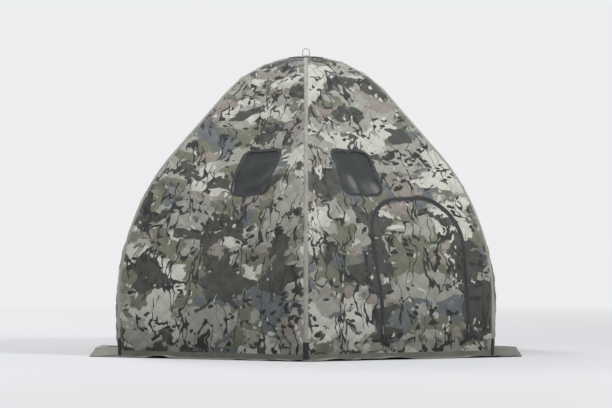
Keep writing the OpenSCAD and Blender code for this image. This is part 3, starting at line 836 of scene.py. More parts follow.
def camouflage(name, quilted):
    """Matt Oxford cloth with a printed camouflage: big soft blotches, small broken ones, and twigs."""
    f = Finish(name, Sheen_Weight=0.12, Sheen_Roughness=0.5, Specular_IOR_Level=0.35)
    plan = f.uv()
    warp = f.vector("SUBTRACT", f.noise(plan, 6.0, 3.0, output="Color"), (0.5, 0.5, 0.5))
    printed = f.vector("ADD", plan, f.vector("MULTIPLY", warp, (0.15, 0.13, 0.0)))

    def blotch(scale, shift, level):
        stretched = f.scaled(printed, (1, 1.25, 1), (shift, shift * 0.7, 0))
        return f.above(f.noise(stretched, scale, 4.0, 0.55), level, 0.0035)

    colour = LIGHT
    for ink, *where in BLOTCHES:
        colour = f.mix(blotch(*where), colour, ink)
    # Small broken shapes, like litter on a forest floor
    for ink, squash, shift, turn, scale, size, where in LITTER:
        cells = f.cells(f.scaled(printed, squash, shift, turn), scale)
        colour = f.mix((1.0 - f.above(cells, size, 0.02)) * blotch(*where), colour, ink)
    # Twigs are the level lines of stretched noise, broken here and there
    for turn, shift in ((0.5, 7.0), (-0.9, 23.0)):
        level = f.noise(f.scaled(printed, (2.2, 0.6, 1), (shift, 4, 0), turn), 3.2, 2.0)
        line = 1.0 - f.above(abs(level - 0.5), 0.011, 0.003)
        colour = f.mix(line * blotch(3.4, 95.0 + shift, 0.48), colour, DARK)
    # Painted highlight: the cloth is painted unevenly paler along the rib seams, where the ribs catch the
    # light. Fading: it is also unevenly bleached, and duller at its foot
    from_rib, girth, _ = f.parts(f.uv("rib"))
    pale_share = f.ramp(from_rib, 0.0, 0.05, 1.0, 0.0) * f.ramp(f.noise(plan, 9.0, 4.0), 0.3, 0.7, 0.2, 1.0)
    # Painted highlight along the rib seams, mixed towards the pale ink
    colour = f.mix(pale_share * 0.25, colour, PALE)
    bleach = f.ramp(f.noise(plan, 1.6, 4.0, 0.6), 0.25, 0.75, 0.88, 1.13)
    foot = f.ramp(girth, 0.0, 0.7, 0.90, 1.0)
    grime = f.ramp(f.noise(plan, 14.0, 6.0, 0.65), 0.3, 0.7, 0.94, 1.05)
    colour = f.shade(colour, bleach * foot * grime)
    height = f.threads(plan, 0.0011) * 0.00008 + f.noise(plan, 60.0, 5.0, 0.6) * 0.0009
    if quilted:
        colour, height = quilt(f, plan, colour, height, SHADE)
    return f.done(colour, f.ramp(f.noise(plan, 11.0, 4.0), 0.3, 0.7, 0.72, 0.86), height)


def plain_cloth(name, base, pale, pitch=0.0012, rough=(0.7, 0.85), quilted=False):
    """Coated cloth in one colour, unevenly worn."""
    f = Finish(name, Sheen_Weight=0.08, Specular_IOR_Level=0.35)
    plan = f.uv()
    pale_share = f.ramp(f.noise(plan, 5.0, 6.0, 0.65), 0.35, 0.75)
    colour = f.shade(f.mix(pale_share, base, pale), f.ramp(f.noise(plan, 45.0, 4.0), 0.3, 0.7, 0.92, 1.07))
    height = f.threads(plan, pitch) * 0.0001 + f.noise(plan, 40.0, 6.0, 0.6) * 0.0014
    if quilted:
        colour, height = quilt(f, plan, colour, height, base)
    return f.done(colour, f.ramp(pale_share, 0.0, 1.0, *rough), height)


def webbing(name, base, pale):
    """Woven strap: ribs across it, with painted shade in their troughs and painted highlight on their crests,
    and a fuzzy, rubbed edge.
    """
    f = Finish(name, Sheen_Weight=0.2, Sheen_Roughness=0.4, Specular_IOR_Level=0.4)
    plan = f.uv()
    across, along, _ = f.parts(plan)
    rib = f.math("SINE", along * (2 * pi / 0.0022))
    twill = f.math("SINE", (across + along) * (2 * pi / 0.0016))
    rubbed = f.ramp(f.noise(plan, 60.0, 5.0, 0.7), 0.42, 0.75)
    # Painted light: the colour is darker in the troughs of the woven ribs and lighter on their crests
    colour = f.shade(f.mix(rubbed, base, pale), f.ramp(rib, -1.0, 1.0, 0.85, 1.1))
    return f.done(colour, f.ramp(rubbed, 0.0, 1.0, 0.68, 0.85), rib * 0.00018 + twill * 0.00009)


def netting(name):
    """Fine black netting with open meshes."""
    f = Finish(name, Roughness=0.7)
    plan = f.uv()
    u, v, _ = f.parts(plan)
    threads = [f.above(abs(f.math("FRACT", way / 0.0026) - 0.5), 0.36, 0.04) for way in (u, v)]
    thread = f.math("MAXIMUM", *threads)
    f.put(f.skin.inputs["Alpha"], thread)
    return f.done(f.mix(f.noise(plan, 90.0, 3.0), tint(24, 25, 26), tint(52, 53, 54)), None, thread * 0.0004)


def film(name):
    """Clear flexible film, a little scratched and hazy."""
    f = Finish(name, Transmission_Weight=0.6, IOR=1.45, Specular_IOR_Level=0.22)
    plan = f.uv()
    haze = f.noise(plan, 12.0, 6.0, 0.65)
    marks = f.above(f.noise(f.scaled(plan, (1, 14, 1), turn=0.6), 25.0, 3.0), 0.68, 0.03)
    colour = f.mix(marks, tint(58, 63, 64), tint(96, 100, 101))
    return f.done(colour, f.ramp(haze, 0.35, 0.7, 0.36, 0.48) + marks * 0.15, haze * 0.0008)


def moulded(name, base, pale):
    """Moulded plastic with a spark-eroded grain and rubbed edges."""
    f = Finish(name)
    grain = f.noise(f.place(), 900.0, 3.0)
    cloud = f.noise(f.place(), 38.0, 5.0, 0.6)
    colour = f.mix(f.ramp(cloud, 0.35, 0.75), base, pale)
    return f.done(colour, f.ramp(cloud, 0.3, 0.7, 0.42, 0.6), grain * 0.00012)


def fibreglass(name):
    """Pultruded rod: long fine streaks under a thin resin skin."""
    f = Finish(name, Coat_Weight=0.15, Coat_Roughness=0.3)
    streak = f.noise(f.scaled(f.place(), (420, 420, 9)), 1.0, 3.0)
    scuff = f.noise(f.place(), 70.0, 5.0, 0.7)
    colour = f.mix(f.ramp(streak, 0.3, 0.7), tint(38, 40, 43), tint(66, 69, 73))
    colour = f.mix(f.above(scuff, 0.66, 0.04), colour, tint(104, 106, 108))
    return f.done(colour, f.ramp(scuff, 0.3, 0.7, 0.34, 0.55), streak * 0.0001)


def zinc(name, base, dull):
    """Zinc-plated steel with a faint spangle and dull spots."""
    f = Finish(name, Metallic=0.9)
    spangle = f.cells(f.place(), 260.0)
    spots = f.ramp(f.noise(f.place(), 120.0, 5.0, 0.7), 0.4, 0.75)
    colour = f.shade(f.mix(spots, base, dull), f.ramp(spangle, 0.0, 0.8, 0.9, 1.06))
    return f.done(colour, f.ramp(spots, 0.0, 1.0, 0.3, 0.55), spangle * 0.00006)


CAMO = camouflage("camouflage_cloth", quilted=True)
CAMO_PLAIN = camouflage("camouflage_trim", quilted=False)
LINING = plain_cloth("lining", tint(142, 144, 142), tint(168, 170, 168), quilted=True)
SKIRT_CLOTH = plain_cloth("skirt_cloth", tint(92, 95, 86), tint(122, 124, 115))
PATCH_CLOTH = plain_cloth("patch_cloth", tint(44, 45, 45), tint(72, 73, 72), rough=(0.5, 0.72))
TAPE = plain_cloth("seam_tape", tint(128, 128, 119), tint(160, 160, 151))
WEBBING = webbing("webbing", tint(30, 31, 33), tint(58, 59, 61))
ZIP_TAPE = webbing("zip_tape", tint(38, 39, 41), tint(62, 63, 65))
THREAD = plain_cloth("thread", tint(86, 88, 82), tint(120, 122, 114), pitch=0.0004)
DARK_THREAD = plain_cloth("dark_thread", tint(60, 61, 62), tint(92, 93, 94), pitch=0.0004)
COIL = moulded("zip_coil", tint(26, 27, 28), tint(48, 49, 51))
NET = netting("netting")
FILM = film("clear_film")
ROD = fibreglass("fibreglass")
NYLON = moulded("moulded_nylon", tint(36, 37, 39), tint(60, 61, 63))
STEEL = zinc("zinc_steel", tint(176, 178, 180), tint(128, 130, 132))
SLIDER = zinc("slider_metal", tint(120, 122, 125), tint(84, 86, 88))

# Panels, door, windows and vents

MOVED = settle()
PANELS = {name: Panel(k, MOVED[k]) for k, name in enumerate(PANEL_NAMES)}
TRIMS = {name: [] for name in PANEL_NAMES}
SEAM_THREAD, TRIM_THREAD = Heap(), Heap()


def cloth_area(panel, keep):
    """Flat area of the part of a panel's taut cloth where keep is above zero."""
    flat = panel.taut
    cell = np.linalg.norm(np.cross(flat[1:, 1:] - flat[:-1, :-1], flat[1:, :-1] - flat[:-1, 1:]), axis=-1) / 2
    return float((cell * (keep[:-1, :-1] > 0)).sum())


def quilted_cloth(panel, name, keep, replaces):
    """The part of a panel's quilted cloth where keep is above zero: outer face, filling and lining."""
    girth, across, faces = clipped(panel.girth, panel.across, keep)
    puff = PUFF * panel.quilting(girth, across)
    return skin(name, panel, girth, across, faces, (puff, -CLOTH_T - puff / 2), [CAMO, LINING],
                replaces=[replaces], slot="camouflage_cloth")


def make_panels():
    """Cloth of the six panels, cut for the door, the windows and the vents."""
    middle = taut_panel(np.linspace(0, GIRTH, 200), np.zeros(200))
    length = float(np.linalg.norm(np.diff(middle, axis=0), axis=1).sum())
    made = {}
    for name, panel in PANELS.items():
        keep = np.ones_like(panel.girth)
        for opening, _, _ in openings(name):
            keep = np.minimum(keep, opening.outside(*opening.plan(panel.taut)))
        cloth = quilted_cloth(panel, name + "_cloth", keep, name + "_panel")
        made[name] = (cloth, (2 * float(half_width(0)), length), cloth_area(panel, keep))
    return made


ZIP_TAPE_T = 0.0009
TOOTH_STEP = 0.003
TOOTH_ASIDE = 0.0011
# Half width, half length and height of a tooth at its foot and at its top
TOOTH = ((0.0017, 0.0006, 0.0003), (0.0011, 0.00035, 0.0019))
ZIP_SEAM_IN = 0.003
SILL_SEAM = 0.004
# The fold that covers the coil: its rise and the width of its slopes
COVER_RISE, COVER_SLOPE = 0.0006, 0.0002


def make_door():
    """The door leaf, sewn to the sill, and its zip."""
    panel = PANELS[DOOR.panel]
    a, b = DOOR.plan(panel.taut)
    sill = np.minimum(b - DOOR.foot - LAYER_GAP, DOOR.foot + DOOR.foot_r - b)
    sill = np.minimum(SEWN_HALF - np.abs(a), sill)
    keep = np.maximum(-DOOR.outside(a, b) - ZIP_SLIT, sill)
    leaf = quilted_cloth(panel, "door_leaf", keep, "door_flap")
    low, high = LAYER_GAP, LAYER_GAP + ZIP_TAPE_T
    inner, outer = -ZIP_SLIT - ZIP_LAP, ZIP_LAP
    crest = high + COVER_RISE
    profile = [(inner, low), (outer, low), (outer, high), (-ZIP_SLIT - COVER_SLOPE, high),
               (-ZIP_SLIT + COVER_SLOPE, crest), (-COVER_SLOPE, crest), (COVER_SLOPE, high), (inner, high)]
    tape = band("zip_tape", panel, DOOR, profile, 0.012, ZIP_TAPE, closed=False,
                replaces=["door_zip"], slot="zip")
    teeth = Heap()
    path = DOOR.outline(TOOTH_STEP, closed=False)
    way = unit(path[1:, :2] - path[:-1, :2])
    # Each tooth is a block that narrows upwards; the second row stands half a step on
    for side, shift in ((-1, 0.0), (1, 0.5)):
        line = path[:-1] + (path[1:] - path[:-1]) * shift
        corners = []
        for wide, long, rise in TOOTH:
            for right, ahead in ((-1, -1), (1, -1), (1, 1), (-1, 1)):
                g = -ZIP_SLIT / 2 + side * TOOTH_ASIDE + right * wide
                place = line[:, :2] + line[:, 2:] * g + way * ahead * long
                corners.append(panel.at(*DOOR.on_cloth(*place.T), high + rise))
        teeth.add_row(np.stack(corners, axis=1), BOX)
    TRIMS[DOOR.panel] += [tape, teeth.piece("zip_teeth", [COIL], slot="zip", sharp=20)]
    for g in (inner + ZIP_SEAM_IN, outer - ZIP_SEAM_IN):
        sew_round(TRIM_THREAD, panel, DOOR, DOOR.outline(0.010, closed=False), g, high)
    # Two rows of stitches join the leaf to the sill
    for b in (DOOR.foot - SILL_SEAM, DOOR.foot + SILL_SEAM):
        line = DOOR.on_cloth(np.linspace(-SEWN_HALF, SEWN_HALF, 60), np.full(60, b))
        sew(TRIM_THREAD, panel, *line, 0.0003)
    return leaf, cloth_area(panel, keep)


def cut_out(x0, x1, y0, y1, step, inside):
    """The part of a flat plate where inside(x, y) is above zero."""
    x, y = np.meshgrid(np.arange(x0 - step, x1 + 2 * step, step), np.arange(y0 - step, y1 + 2 * step, step))
    return clipped(x, y, inside(x, y))


def plate(heap, origin, axes, limits, inside, heights):
    """A flat plate in a local frame: inside(x, y) is above zero in it, and heights are those of its faces."""
    px, py, faces = cut_out(*limits, 0.0010, inside)
    right, up, out = axes
    flat = origin + px[:, None] * right + py[:, None] * up
    low, high = heights
    points, faces, _ = shell(flat + high * out, flat + low * out, faces)
    heap.add(points, faces, np.tile(stacked(px, py), (2, 1)))


# Half widths and half lengths of a slider's plates, bridge and pull, and how much the plates narrow
SLIDER_W, SLIDER_L, SLIDER_TAPER = 0.0062, 0.0085, 0.0022
BRIDGE_W, BRIDGE_L = 0.0018, 0.0062
PULL_NECK_W, PULL_END_W = 0.0034, 0.0058
PULL_SLOT_W, PULL_SLOT_L = 0.0019, 0.0026
# The pull reaches above the slider's middle; its round end and its hole lie below it
PULL_TOP, PULL_END_Y, PULL_HOLE_Y, PULL_HOLE_R = 0.004, 0.038, 0.036, 0.0028


def slider_body(x, y):
    """A slider's plate, which narrows downwards."""
    waist = SLIDER_W - SLIDER_TAPER * smooth(np.abs(y) / SLIDER_L - 0.2) * (y < 0)
    return np.minimum(waist - np.abs(x), SLIDER_L - np.abs(y))


def slider_bridge(x, y):
    """The bridge that joins the plates and holds the pull."""
    return np.minimum(BRIDGE_W - np.abs(x), BRIDGE_L - np.abs(y))


def slider_pull(x, y):
    """The pull: a tongue with a slot for the bridge, a wider round end and a hole in it."""
    taper = PULL_NECK_W + (PULL_END_W - PULL_NECK_W) * smooth((-y - 0.008) / 0.025)
    end = PULL_END_W - np.hypot(x, np.minimum(y + PULL_END_Y, 0))
    form = np.minimum(np.minimum(taper - np.abs(x), PULL_TOP - y), np.where(y < -PULL_END_Y, end, 9))
    hole = np.hypot(x, y + PULL_HOLE_Y) - PULL_HOLE_R
    slot = np.maximum(np.abs(x) - PULL_SLOT_W, np.abs(y + 0.0005) - PULL_SLOT_L)
    return np.minimum(form, np.minimum(hole, slot))


# The plates of a slider: two round the coil, the bridge between them and the pull, with their heights
SLIDER_PLATES = [
    ((-0.007, 0.007, -0.010, 0.010), slider_body, (0.0016, 0.0030)),
    ((-0.007, 0.007, -0.010, 0.010), slider_body, (0.0042, 0.0056)),
    ((-0.002, 0.002, -0.0065, 0.0065), slider_bridge, (0.0030, 0.0078)),
    ((-0.006, 0.006, -0.045, 0.005), slider_pull, (0.0061, 0.0076)),
]


def make_sliders():
    """Two sliders low on the zip, each with a body round the coil and a pull that hangs from its bridge."""
    panel = PANELS[DOOR.panel]
    heap = Heap()
    for side in (-1, 1):
        a = side * (DOOR.width / 2 - ZIP_SLIT / 2)
        b = DOOR.foot + DOOR.foot_r + PULL_L - SLIDER_L
        here, above, aside = panel.at(*DOOR.on_cloth(np.array([a, a, a + 0.01]), np.array([b, b + 0.01, b])))
        up = unit(above - here)
        right = unit(aside - here - up * ((aside - here) @ up))
        for limits, inside, heights in SLIDER_PLATES:
            plate(heap, here, (right, up, np.cross(right, up)), limits, inside, heights)
    sliders = heap.piece("zip_sliders", [SLIDER], replaces=["zip_pulls"], slot="slider_metal", sharp=30)
    TRIMS[DOOR.panel].append(sliders)


BINDING_T = 0.0018
BINDING_SEAM = 0.0040
FILM_T = 0.0008
FILM_RIPPLE = 0.0016


def make_windows():
    """Bindings round the windows, and clear film behind the cloth."""
    top = LAYER_GAP + BINDING_T
    profile = [(0.0, LAYER_GAP), (BINDING_W, LAYER_GAP), (BINDING_W, top - 0.0008), (BINDING_W - 0.0008, top),
               (BINDING_W - 0.0040, top - 0.0003), (BINDING_W / 2, top + 0.0006), (0.0040, top - 0.0003),
               (0.0010, top), (0.0, top - 0.0008)]
    for n, window in enumerate(WINDOWS):
        panel = PANELS[window.panel]
        trim = band("window_binding_" + window.panel, panel, window, profile, 0.008, WEBBING,
                    replaces=first("window_frames", n), slot="dark_webbing")
        line = window.outline(0.006)
        line = np.concatenate([line, line[:1]])
        for g in (BINDING_SEAM, BINDING_W - BINDING_SEAM):
            sew_round(TRIM_THREAD, panel, window, line, g, top - 0.0003)
        a, b = window.plan(panel.taut)
        girth, across, faces = clipped(panel.girth, panel.across, PANE_LAP - window.outside(a, b))
        a, b = window.plan(taut_panel(girth, across))
        ripple = noise(a * 9 + b * 5, b * 7 - a * 4, 200 + panel.number) - 1
        high = -CLOTH_T - LAYER_GAP + FILM_RIPPLE * smooth(-window.outside(a, b) / 0.05) * ripple
        pane = skin("window_film_" + window.panel, panel, girth, across, faces, (high, high - FILM_T), [FILM],
                    replaces=first("window_panes", n), slot="clear_film")
        TRIMS[window.panel] += [trim, pane]


HOOD_BULGE = 0.026
HOOD_T = 0.0016
HOOD_LIP = 0.022
# The binding of a hood's edge: outward from the edge, and height above the hood's inner face
HOOD_RIM = ((-0.010, -0.0006), (0.0008, -0.0006), (0.0008, 0.0024), (-0.010, 0.0024))
NET_T = 0.0006


def make_vents():
    """A stiffened hood over each vent, open below, with netting behind the cloth."""
    for n, vent in enumerate(VENTS):
        panel = PANELS[vent.panel]
        wide, low, high = vent.width / 2 + VENT_LAP, vent.foot - VENT_LAP, vent.foot + vent.height + VENT_LAP
        a, b, faces = cut_out(-wide, wide, low, high, 0.004, lambda a, b: VENT_LAP - vent.outside(a, b))

        def bulge(a, b):
            arch = smooth(np.maximum(1 - (a / (wide - 0.012)) ** 2, 0) * 1.1)
            slope = smooth((high - HOOD_LIP - b) / (high - low - HOOD_LIP)) ** 0.8
            return LAYER_GAP + HOOD_BULGE * arch * slope

        lift = bulge(a, b)
        hood = skin("vent_hood_" + vent.panel, panel, *vent.on_cloth(a, b), faces, (lift + HOOD_T, lift),
                    [CAMO_PLAIN, LINING], replaces=first("vent_flaps", n), slot="camouflage_cloth")
        # The hood's edge is bound all round
        g, rise = np.array(HOOD_RIM).T
        a, b = beside(vent.outline(0.005), VENT_LAP + g)
        points = panel.at(*vent.on_cloth(a, b), bulge(np.clip(a, -wide, wide), b) + rise)
        binding = piece("vent_binding_" + vent.panel, points, loft(a.shape, True), [WEBBING],
                        {"cloth": stacked(a, b)}, check=True, slot="dark_webbing")
        around = PANE_LAP - vent.outside(*vent.plan(panel.taut))
        behind = -CLOTH_T - LAYER_GAP
        net = skin("vent_net_" + vent.panel, panel, *clipped(panel.girth, panel.across, around),
                   (behind, behind - NET_T), [NET], replaces=first("vent_nets", n), slot="netting")
        TRIMS[vent.panel] += [binding, net]


TAPE_HALF = 0.015
TAPE_FROM = 0.100
TAPE_SEAM_IN = 0.003


def make_seam_tapes():
    """A folded tape over each rib seam, stitched down at both sides."""
    girth = np.linspace(TAPE_FROM, GIRTH - PATCH_LAP + 0.006, 230)
    wide = half_width(girth)
    reach = np.array([TAPE_HALF, TAPE_HALF, TAPE_HALF - 0.001, TAPE_HALF * 0.5, 0.0012])
    lift = np.array([0.0001, 0.0006, 0.0012, 0.0014, 0.0015])
    across = np.concatenate([-reach, reach[::-1], [0.001, -0.001]])

    def strip(panel, side, reach, lift):
        place = side * (1 - reach[None, :] / wide[:, None])
        return panel.at(np.broadcast_to(girth[:, None], place.shape), place, lift)

    for k, name in enumerate(RIB_NAMES):
        before, after = PANELS[PANEL_NAMES[k - 1]], PANELS[PANEL_NAMES[k]]
        floor = np.array([0.0010]), np.array([0.0001])
        ring = np.concatenate([strip(before, 1, reach, lift), strip(after, -1, reach, lift)[:, ::-1],
                               strip(after, -1, *floor), strip(before, 1, *floor)], axis=1)
        plan = stacked(across, girth[:, None] + k)
        tape = piece("seam_tape_" + name, ring, loft(ring.shape[:2]), [TAPE], {"cloth": plan}, sharp=50,
                     slot="camouflage_cloth", check=True)
        TRIMS[after.name].append(tape)
        for panel, side in ((before, 1), (after, -1)):
            sew(SEAM_THREAD, panel, girth, side * (1 - (TAPE_HALF - TAPE_SEAM_IN) / wide), 0.0013)


# Crown

# The patch: its cloth's thickness, its hem, half the thickness of its edge, its puckers and its two seams
PATCH_CLOTH_T = 0.0014
PATCH_HEM_W, PATCH_HEM_T = 0.013, 0.0009
PATCH_EDGE = 0.0005
PATCH_PUCKER = 0.0005
PATCH_SEAMS_IN = (0.004, 0.010)


def make_crown():
    """The six-sided patch over the hub and its webbing loop."""
    edge = CROWN_HOLE_R + PATCH_LAP
    hole_z = RIB_TOP - CROWN_R + sqrt(CROWN_R ** 2 - CROWN_HOLE_R ** 2) + LAYER_GAP + PATCH_T
    rho = np.concatenate([[0.0], np.linspace(0.006, edge - 0.004, 30), [edge - 0.0015, edge]])
    knots = ([0, (PLATE_R + LAYER_GAP) / cos(HALF), CROWN_HOLE_R, edge],
             [HUT_H, HUT_H, hole_z, hole_z - PATCH_LAP * tan(CROWN_EDGE)])
    # The patch bends softly where its straight parts meet
    spread = np.linspace(-0.008, 0.008, 9)
    height = np.mean([np.interp(np.minimum(rho + s, edge), *knots) for s in spread], axis=0)
    around = np.linspace(0, 2 * pi, 144, endpoint=False)
    ratio = cos(HALF) / np.cos((around + pi / 2) % TURN - HALF)
    rr, aa = np.meshgrid(rho, around, indexing="ij")
    hem = smooth((rr - (edge - PATCH_HEM_W)) / 0.0015)
    pucker = PATCH_PUCKER * np.exp(-(edge - rr) / 0.012) * np.sin(aa * 60 + 2 * noise(aa * 8, 0, 5))
    top = height[:, None] - PATCH_HEM_T + PATCH_HEM_T * hem + pucker
    base = top - PATCH_CLOTH_T
    rim = (top[-1] + base[-1]) / 2
    top[-1], base[-1] = rim + PATCH_EDGE, rim - PATCH_EDGE

    def placed(z):
        return stacked(rr * ratio * np.cos(aa), rr * ratio * np.sin(aa), z).reshape(-1, 3)

    # The faces between the rings would look down, so they are turned over; triangles close the middle
    n = len(around)
    faces = [(a, d, c, b) for a, b, c, d in grid_faces(len(rho), n, ring_cols=True)[n:]]
    faces += [(0, n + j, n + (j + 1) % n) for j in range(n)]
    points, faces, lower = shell(placed(top), placed(base), faces)
    used, faces = in_use(faces)
    points = points[used]
    patch = piece("crown_patch_cloth", points, faces, [PATCH_CLOTH, LINING], {"cloth": points[:, :2]}, lower,
                  replaces=["crown_patch"], slot="patch_cloth")
    ring, out = np.append(around, around[0]), np.append(ratio, ratio[0])
    for inset in PATCH_SEAMS_IN:
        r = (edge - inset) * out
        z = np.interp(edge - inset, rho, height) + 0.0003
        line = stacked(r * np.cos(ring), r * np.sin(ring), z)
        stitches(TRIM_THREAD, line, np.broadcast_to([0.0, 0, 1], line.shape))
    make_loop()


def make_loop():
    """A stirrup of webbing: an arch on two legs, joined by a flat foot that is sewn to the patch."""
    middle = LOOP_R + LOOP_T / 2
    base = HUT_H + LAYER_GAP + LOOP_T / 2
    arch_z = HUT_H + LAYER_GAP + LOOP_T + LOOP_LEG
    turn_r = 0.005
    # The left leg and corner going down; the right ones are their mirror image going up
    down = [(-middle, z) for z in np.linspace(arch_z, base + turn_r, 7)[1:-1]]
    down += [(-middle + turn_r - turn_r * cos(t), base + turn_r - turn_r * sin(t))
             for t in np.linspace(0, pi / 2, 7)]
    path = [(middle * cos(t), arch_z + middle * sin(t)) for t in np.linspace(0, pi, 25)] + down
    path += [(x, base) for x in np.linspace(-middle + turn_r, middle - turn_r, 9)[1:-1]]
    path = np.array(path + [(-x, z) for x, z in reversed(down)])
    way = unit(np.roll(path, -1, axis=0) - np.roll(path, 1, axis=0))
    out = stacked(way[:, 1], -way[:, 0])
    half, t, r = LOOP_WEB / 2, LOOP_T / 2, 0.0008
    section = np.array([(-half + r, -t), (half - r, -t), (half, -t + r), (half, t - r), (half - r, t),
                        (half * 0.5, t - 0.0002), (-half * 0.5, t - 0.0002), (-half + r, t), (-half, t - r),
                        (-half, -t + r)])
    flat = path[:, None, :] + out[:, None, :] * section[None, :, 1, None]
    points = stacked(flat[..., 0], section[:, 0], flat[..., 1])
    plan = stacked(section[:, 0], run_along(path)[:, None])
    return piece("crown_loop_webbing", points, loft(points.shape[:2], True), [WEBBING], {"cloth": plan},
                 replaces=["crown_loop"], slot="dark_webbing", check=True)


# Skirt and anchors

GROUND_GAP = 0.0004
SKIRT_IN = WALL_R + LAYER_GAP
SKIRT_T = 0.0014
FOLD_R = 0.006
HEM_W, HEM_T = 0.014, 0.0012
WAVE, RIPPLE = 0.015, 0.0016
# How far the loose edge draws in, and the thickness of the hem that is sewn to the wall
DRAW_IN = 0.008
SEWN_W, SEWN_T = 0.010, 0.0007
# The skirt's two seams: from its upper end, and in from its hem's edge
WALL_SEAM, HEM_SEAM = 0.006, 0.011


def make_skirt(k):
    """One side of the skirt: sewn up the wall, folded at its foot and laid on the ground in loose waves."""
    name = PANEL_NAMES[k]
    wall_l = SKIRT_UP - FOLD_R
    flat_from = wall_l + FOLD_R * pi / 2
    length = flat_from + SKIRT_W - FOLD_R
    notch = (TAB_W / 2 + LAYER_GAP) / cos(HALF)
    run = np.unique(np.concatenate([
        np.linspace(0, wall_l, 6), np.linspace(wall_l, flat_from, 7),
        np.linspace(flat_from, length - HEM_W - 0.002, 30), np.linspace(length - HEM_W - 0.001, length, 8)]))
    w, n = np.meshgrid(run, np.linspace(-1, 1, 181), indexing="ij")
    turn = np.clip((w - wall_l) / FOLD_R, 0, pi / 2)
    out = np.maximum(w - flat_from, 0)
    x = SKIRT_IN + FOLD_R * (1 - np.cos(turn)) + out
    z = np.maximum(SKIRT_UP - w, FOLD_R) - FOLD_R * np.sin(turn)
    y = n * (x * tan(HALF) - notch)
    loose = smooth((out - 0.010) / 0.11)
    ridge = noise(y / 0.14 + 7 * k, out / 0.5 + 0.3 * y, 120 + k) + 0.35 * noise(y / 0.06, out / 0.2, 140 + k)
    waves = WAVE * np.maximum(ridge, 0) ** 1.4 + RIPPLE * (1 + noise(y / 0.035, out / 0.06, 160 + k))
    z = z + GROUND_GAP + loose * waves
    x = x - DRAW_IN * loose * (0.5 + 0.5 * noise(y / 0.22, 3 * k, 180 + k)) * out / SKIRT_W
    points = stacked(x, y, z)
    normal = normals(points)
    normal = np.where((normal[..., :1] + normal[..., 2:]) < 0, -normal, normal)
    from_end = (1 - np.abs(n)) * (x * tan(HALF) - notch)
    hem = np.maximum(smooth((HEM_W - (length - w)) / 0.0012), smooth((HEM_W - from_end) / 0.0012) * (out > 0))
    thick = SKIRT_T + HEM_T * hem + SEWN_T * smooth((SEWN_W - w) / 0.001)
    angle = panel_angle(k)
    top, normal = turned(points + normal * thick[..., None], angle), turned(normal, angle)
    sheets = top.reshape(-1, 3), turned(points, angle).reshape(-1, 3)
    whole, faces, _ = shell(*sheets, grid_faces(*w.shape))
    cloth = piece("skirt_cloth_" + name, whole, faces, [SKIRT_CLOTH], {"cloth": stacked(y + 5 * k, w)},
                  replaces=["skirt_" + name], slot="skirt_cloth", check=True)
    for row_w in (WALL_SEAM, length - HEM_SEAM):
        row = int(np.argmin(np.abs(run - row_w)))
        stitches(SEAM_THREAD, top[row], normal[row])
    near, far = (2 * (r * tan(HALF) - notch) for r in (SKIRT_IN, SKIRT_IN + SKIRT_W))
    (near + far) / 2 * length


TAB_T = 0.0024
TAB_WALL = TAB_UP - FOLD_R
TAB_FOLD = FOLD_R * pi / 2
# How far the tab lies out over the seam tape's end, and how high it bows off the ground
ON_TAPE, BOW = 0.0014, 0.0030
# The stitched box: its ends along the tab, and half its width
BOX_FROM, BOX_TO, BOX_HALF = 0.006, 0.046, 0.014


def on_tab(k, run, side, lift):
    """Places on a corner tab: how far along it from its upper end, how far aside, and how high on it."""
    turn = np.clip((run - TAB_WALL) / FOLD_R, 0, pi / 2)
    out = np.maximum(run - TAB_WALL - TAB_FOLD, 0)
    wrap = 1 - smooth((run - TAB_WALL + 0.010) / (TAB_FOLD + 0.030))
    soft = np.hypot(side, 0.004) - 0.004
    x = CORNER_R + LAYER_GAP + FOLD_R * (1 - np.cos(turn)) + out - soft * sin(HALF) * wrap
    y = side * (1 - (1 - cos(HALF)) * wrap)
    z = np.maximum(TAB_UP - run, FOLD_R) - FOLD_R * np.sin(turn)
    over_tape = ON_TAPE * smooth((0.028 - run) / 0.012)
    rise = GROUND_GAP + BOW * smooth(out / 0.04) * smooth((0.13 - out) / 0.05) * (1 + side / TAB_W)
    aside = np.sign(side) * smooth(np.abs(side) / 0.008) * sin(HALF) * wrap
    leaning = unit(stacked(np.cos(turn), aside, np.sin(turn)))
    place = stacked(x, y, z + rise * np.sin(turn)) + leaning * (lift + over_tape)[..., None]
    return turned(place, FRONT + k * TURN)


def make_tab(k):
    """A webbing tab that wraps a corner of the wall and runs out on the ground to its eyelet."""
    length = TAB_WALL + TAB_FOLD + TAB_L - FOLD_R
    step = 0.0025
    run, side = np.meshgrid(np.arange(-step, length + 2 * step, step),
                            np.arange(-TAB_W / 2 - step, TAB_W / 2 + 2 * step, step), indexing="ij")
    end = length - TAB_W / 2
    tongue = np.where(run > end, TAB_W / 2 - np.hypot(run - end, side), TAB_W / 2 - np.abs(side))
    hole = np.hypot(run - (length - EYELET_IN), side) - BARREL_R - 0.0002
    run, side, faces = clipped(run, side, np.minimum(np.minimum(tongue, run), hole))
    points, faces, _ = shell(on_tab(k, run, side, TAB_T), on_tab(k, run, side, 0.0), faces)
    tab = piece("anchor_tab_" + RIB_NAMES[k], points, faces, [WEBBING], {"cloth": stacked(side, run)},
                check=True, replaces=first("corner_tabs", k), slot="dark_webbing")
    # A box with a cross in it holds the tab to the wall
    a, b, c, d = ((run, side) for run in (BOX_FROM, BOX_TO) for side in (-BOX_HALF, BOX_HALF))
    box = [a, b, d, c, a, d, b, c]
    for (r0, s0), (r1, s1) in zip(box, box[1:]):
        r, s = np.linspace(r0, r1, 12), np.linspace(s0, s1, 12)
        line = on_tab(k, r, s, TAB_T)
        stitches(TRIM_THREAD, line, on_tab(k, r, s, TAB_T + 1) - line)


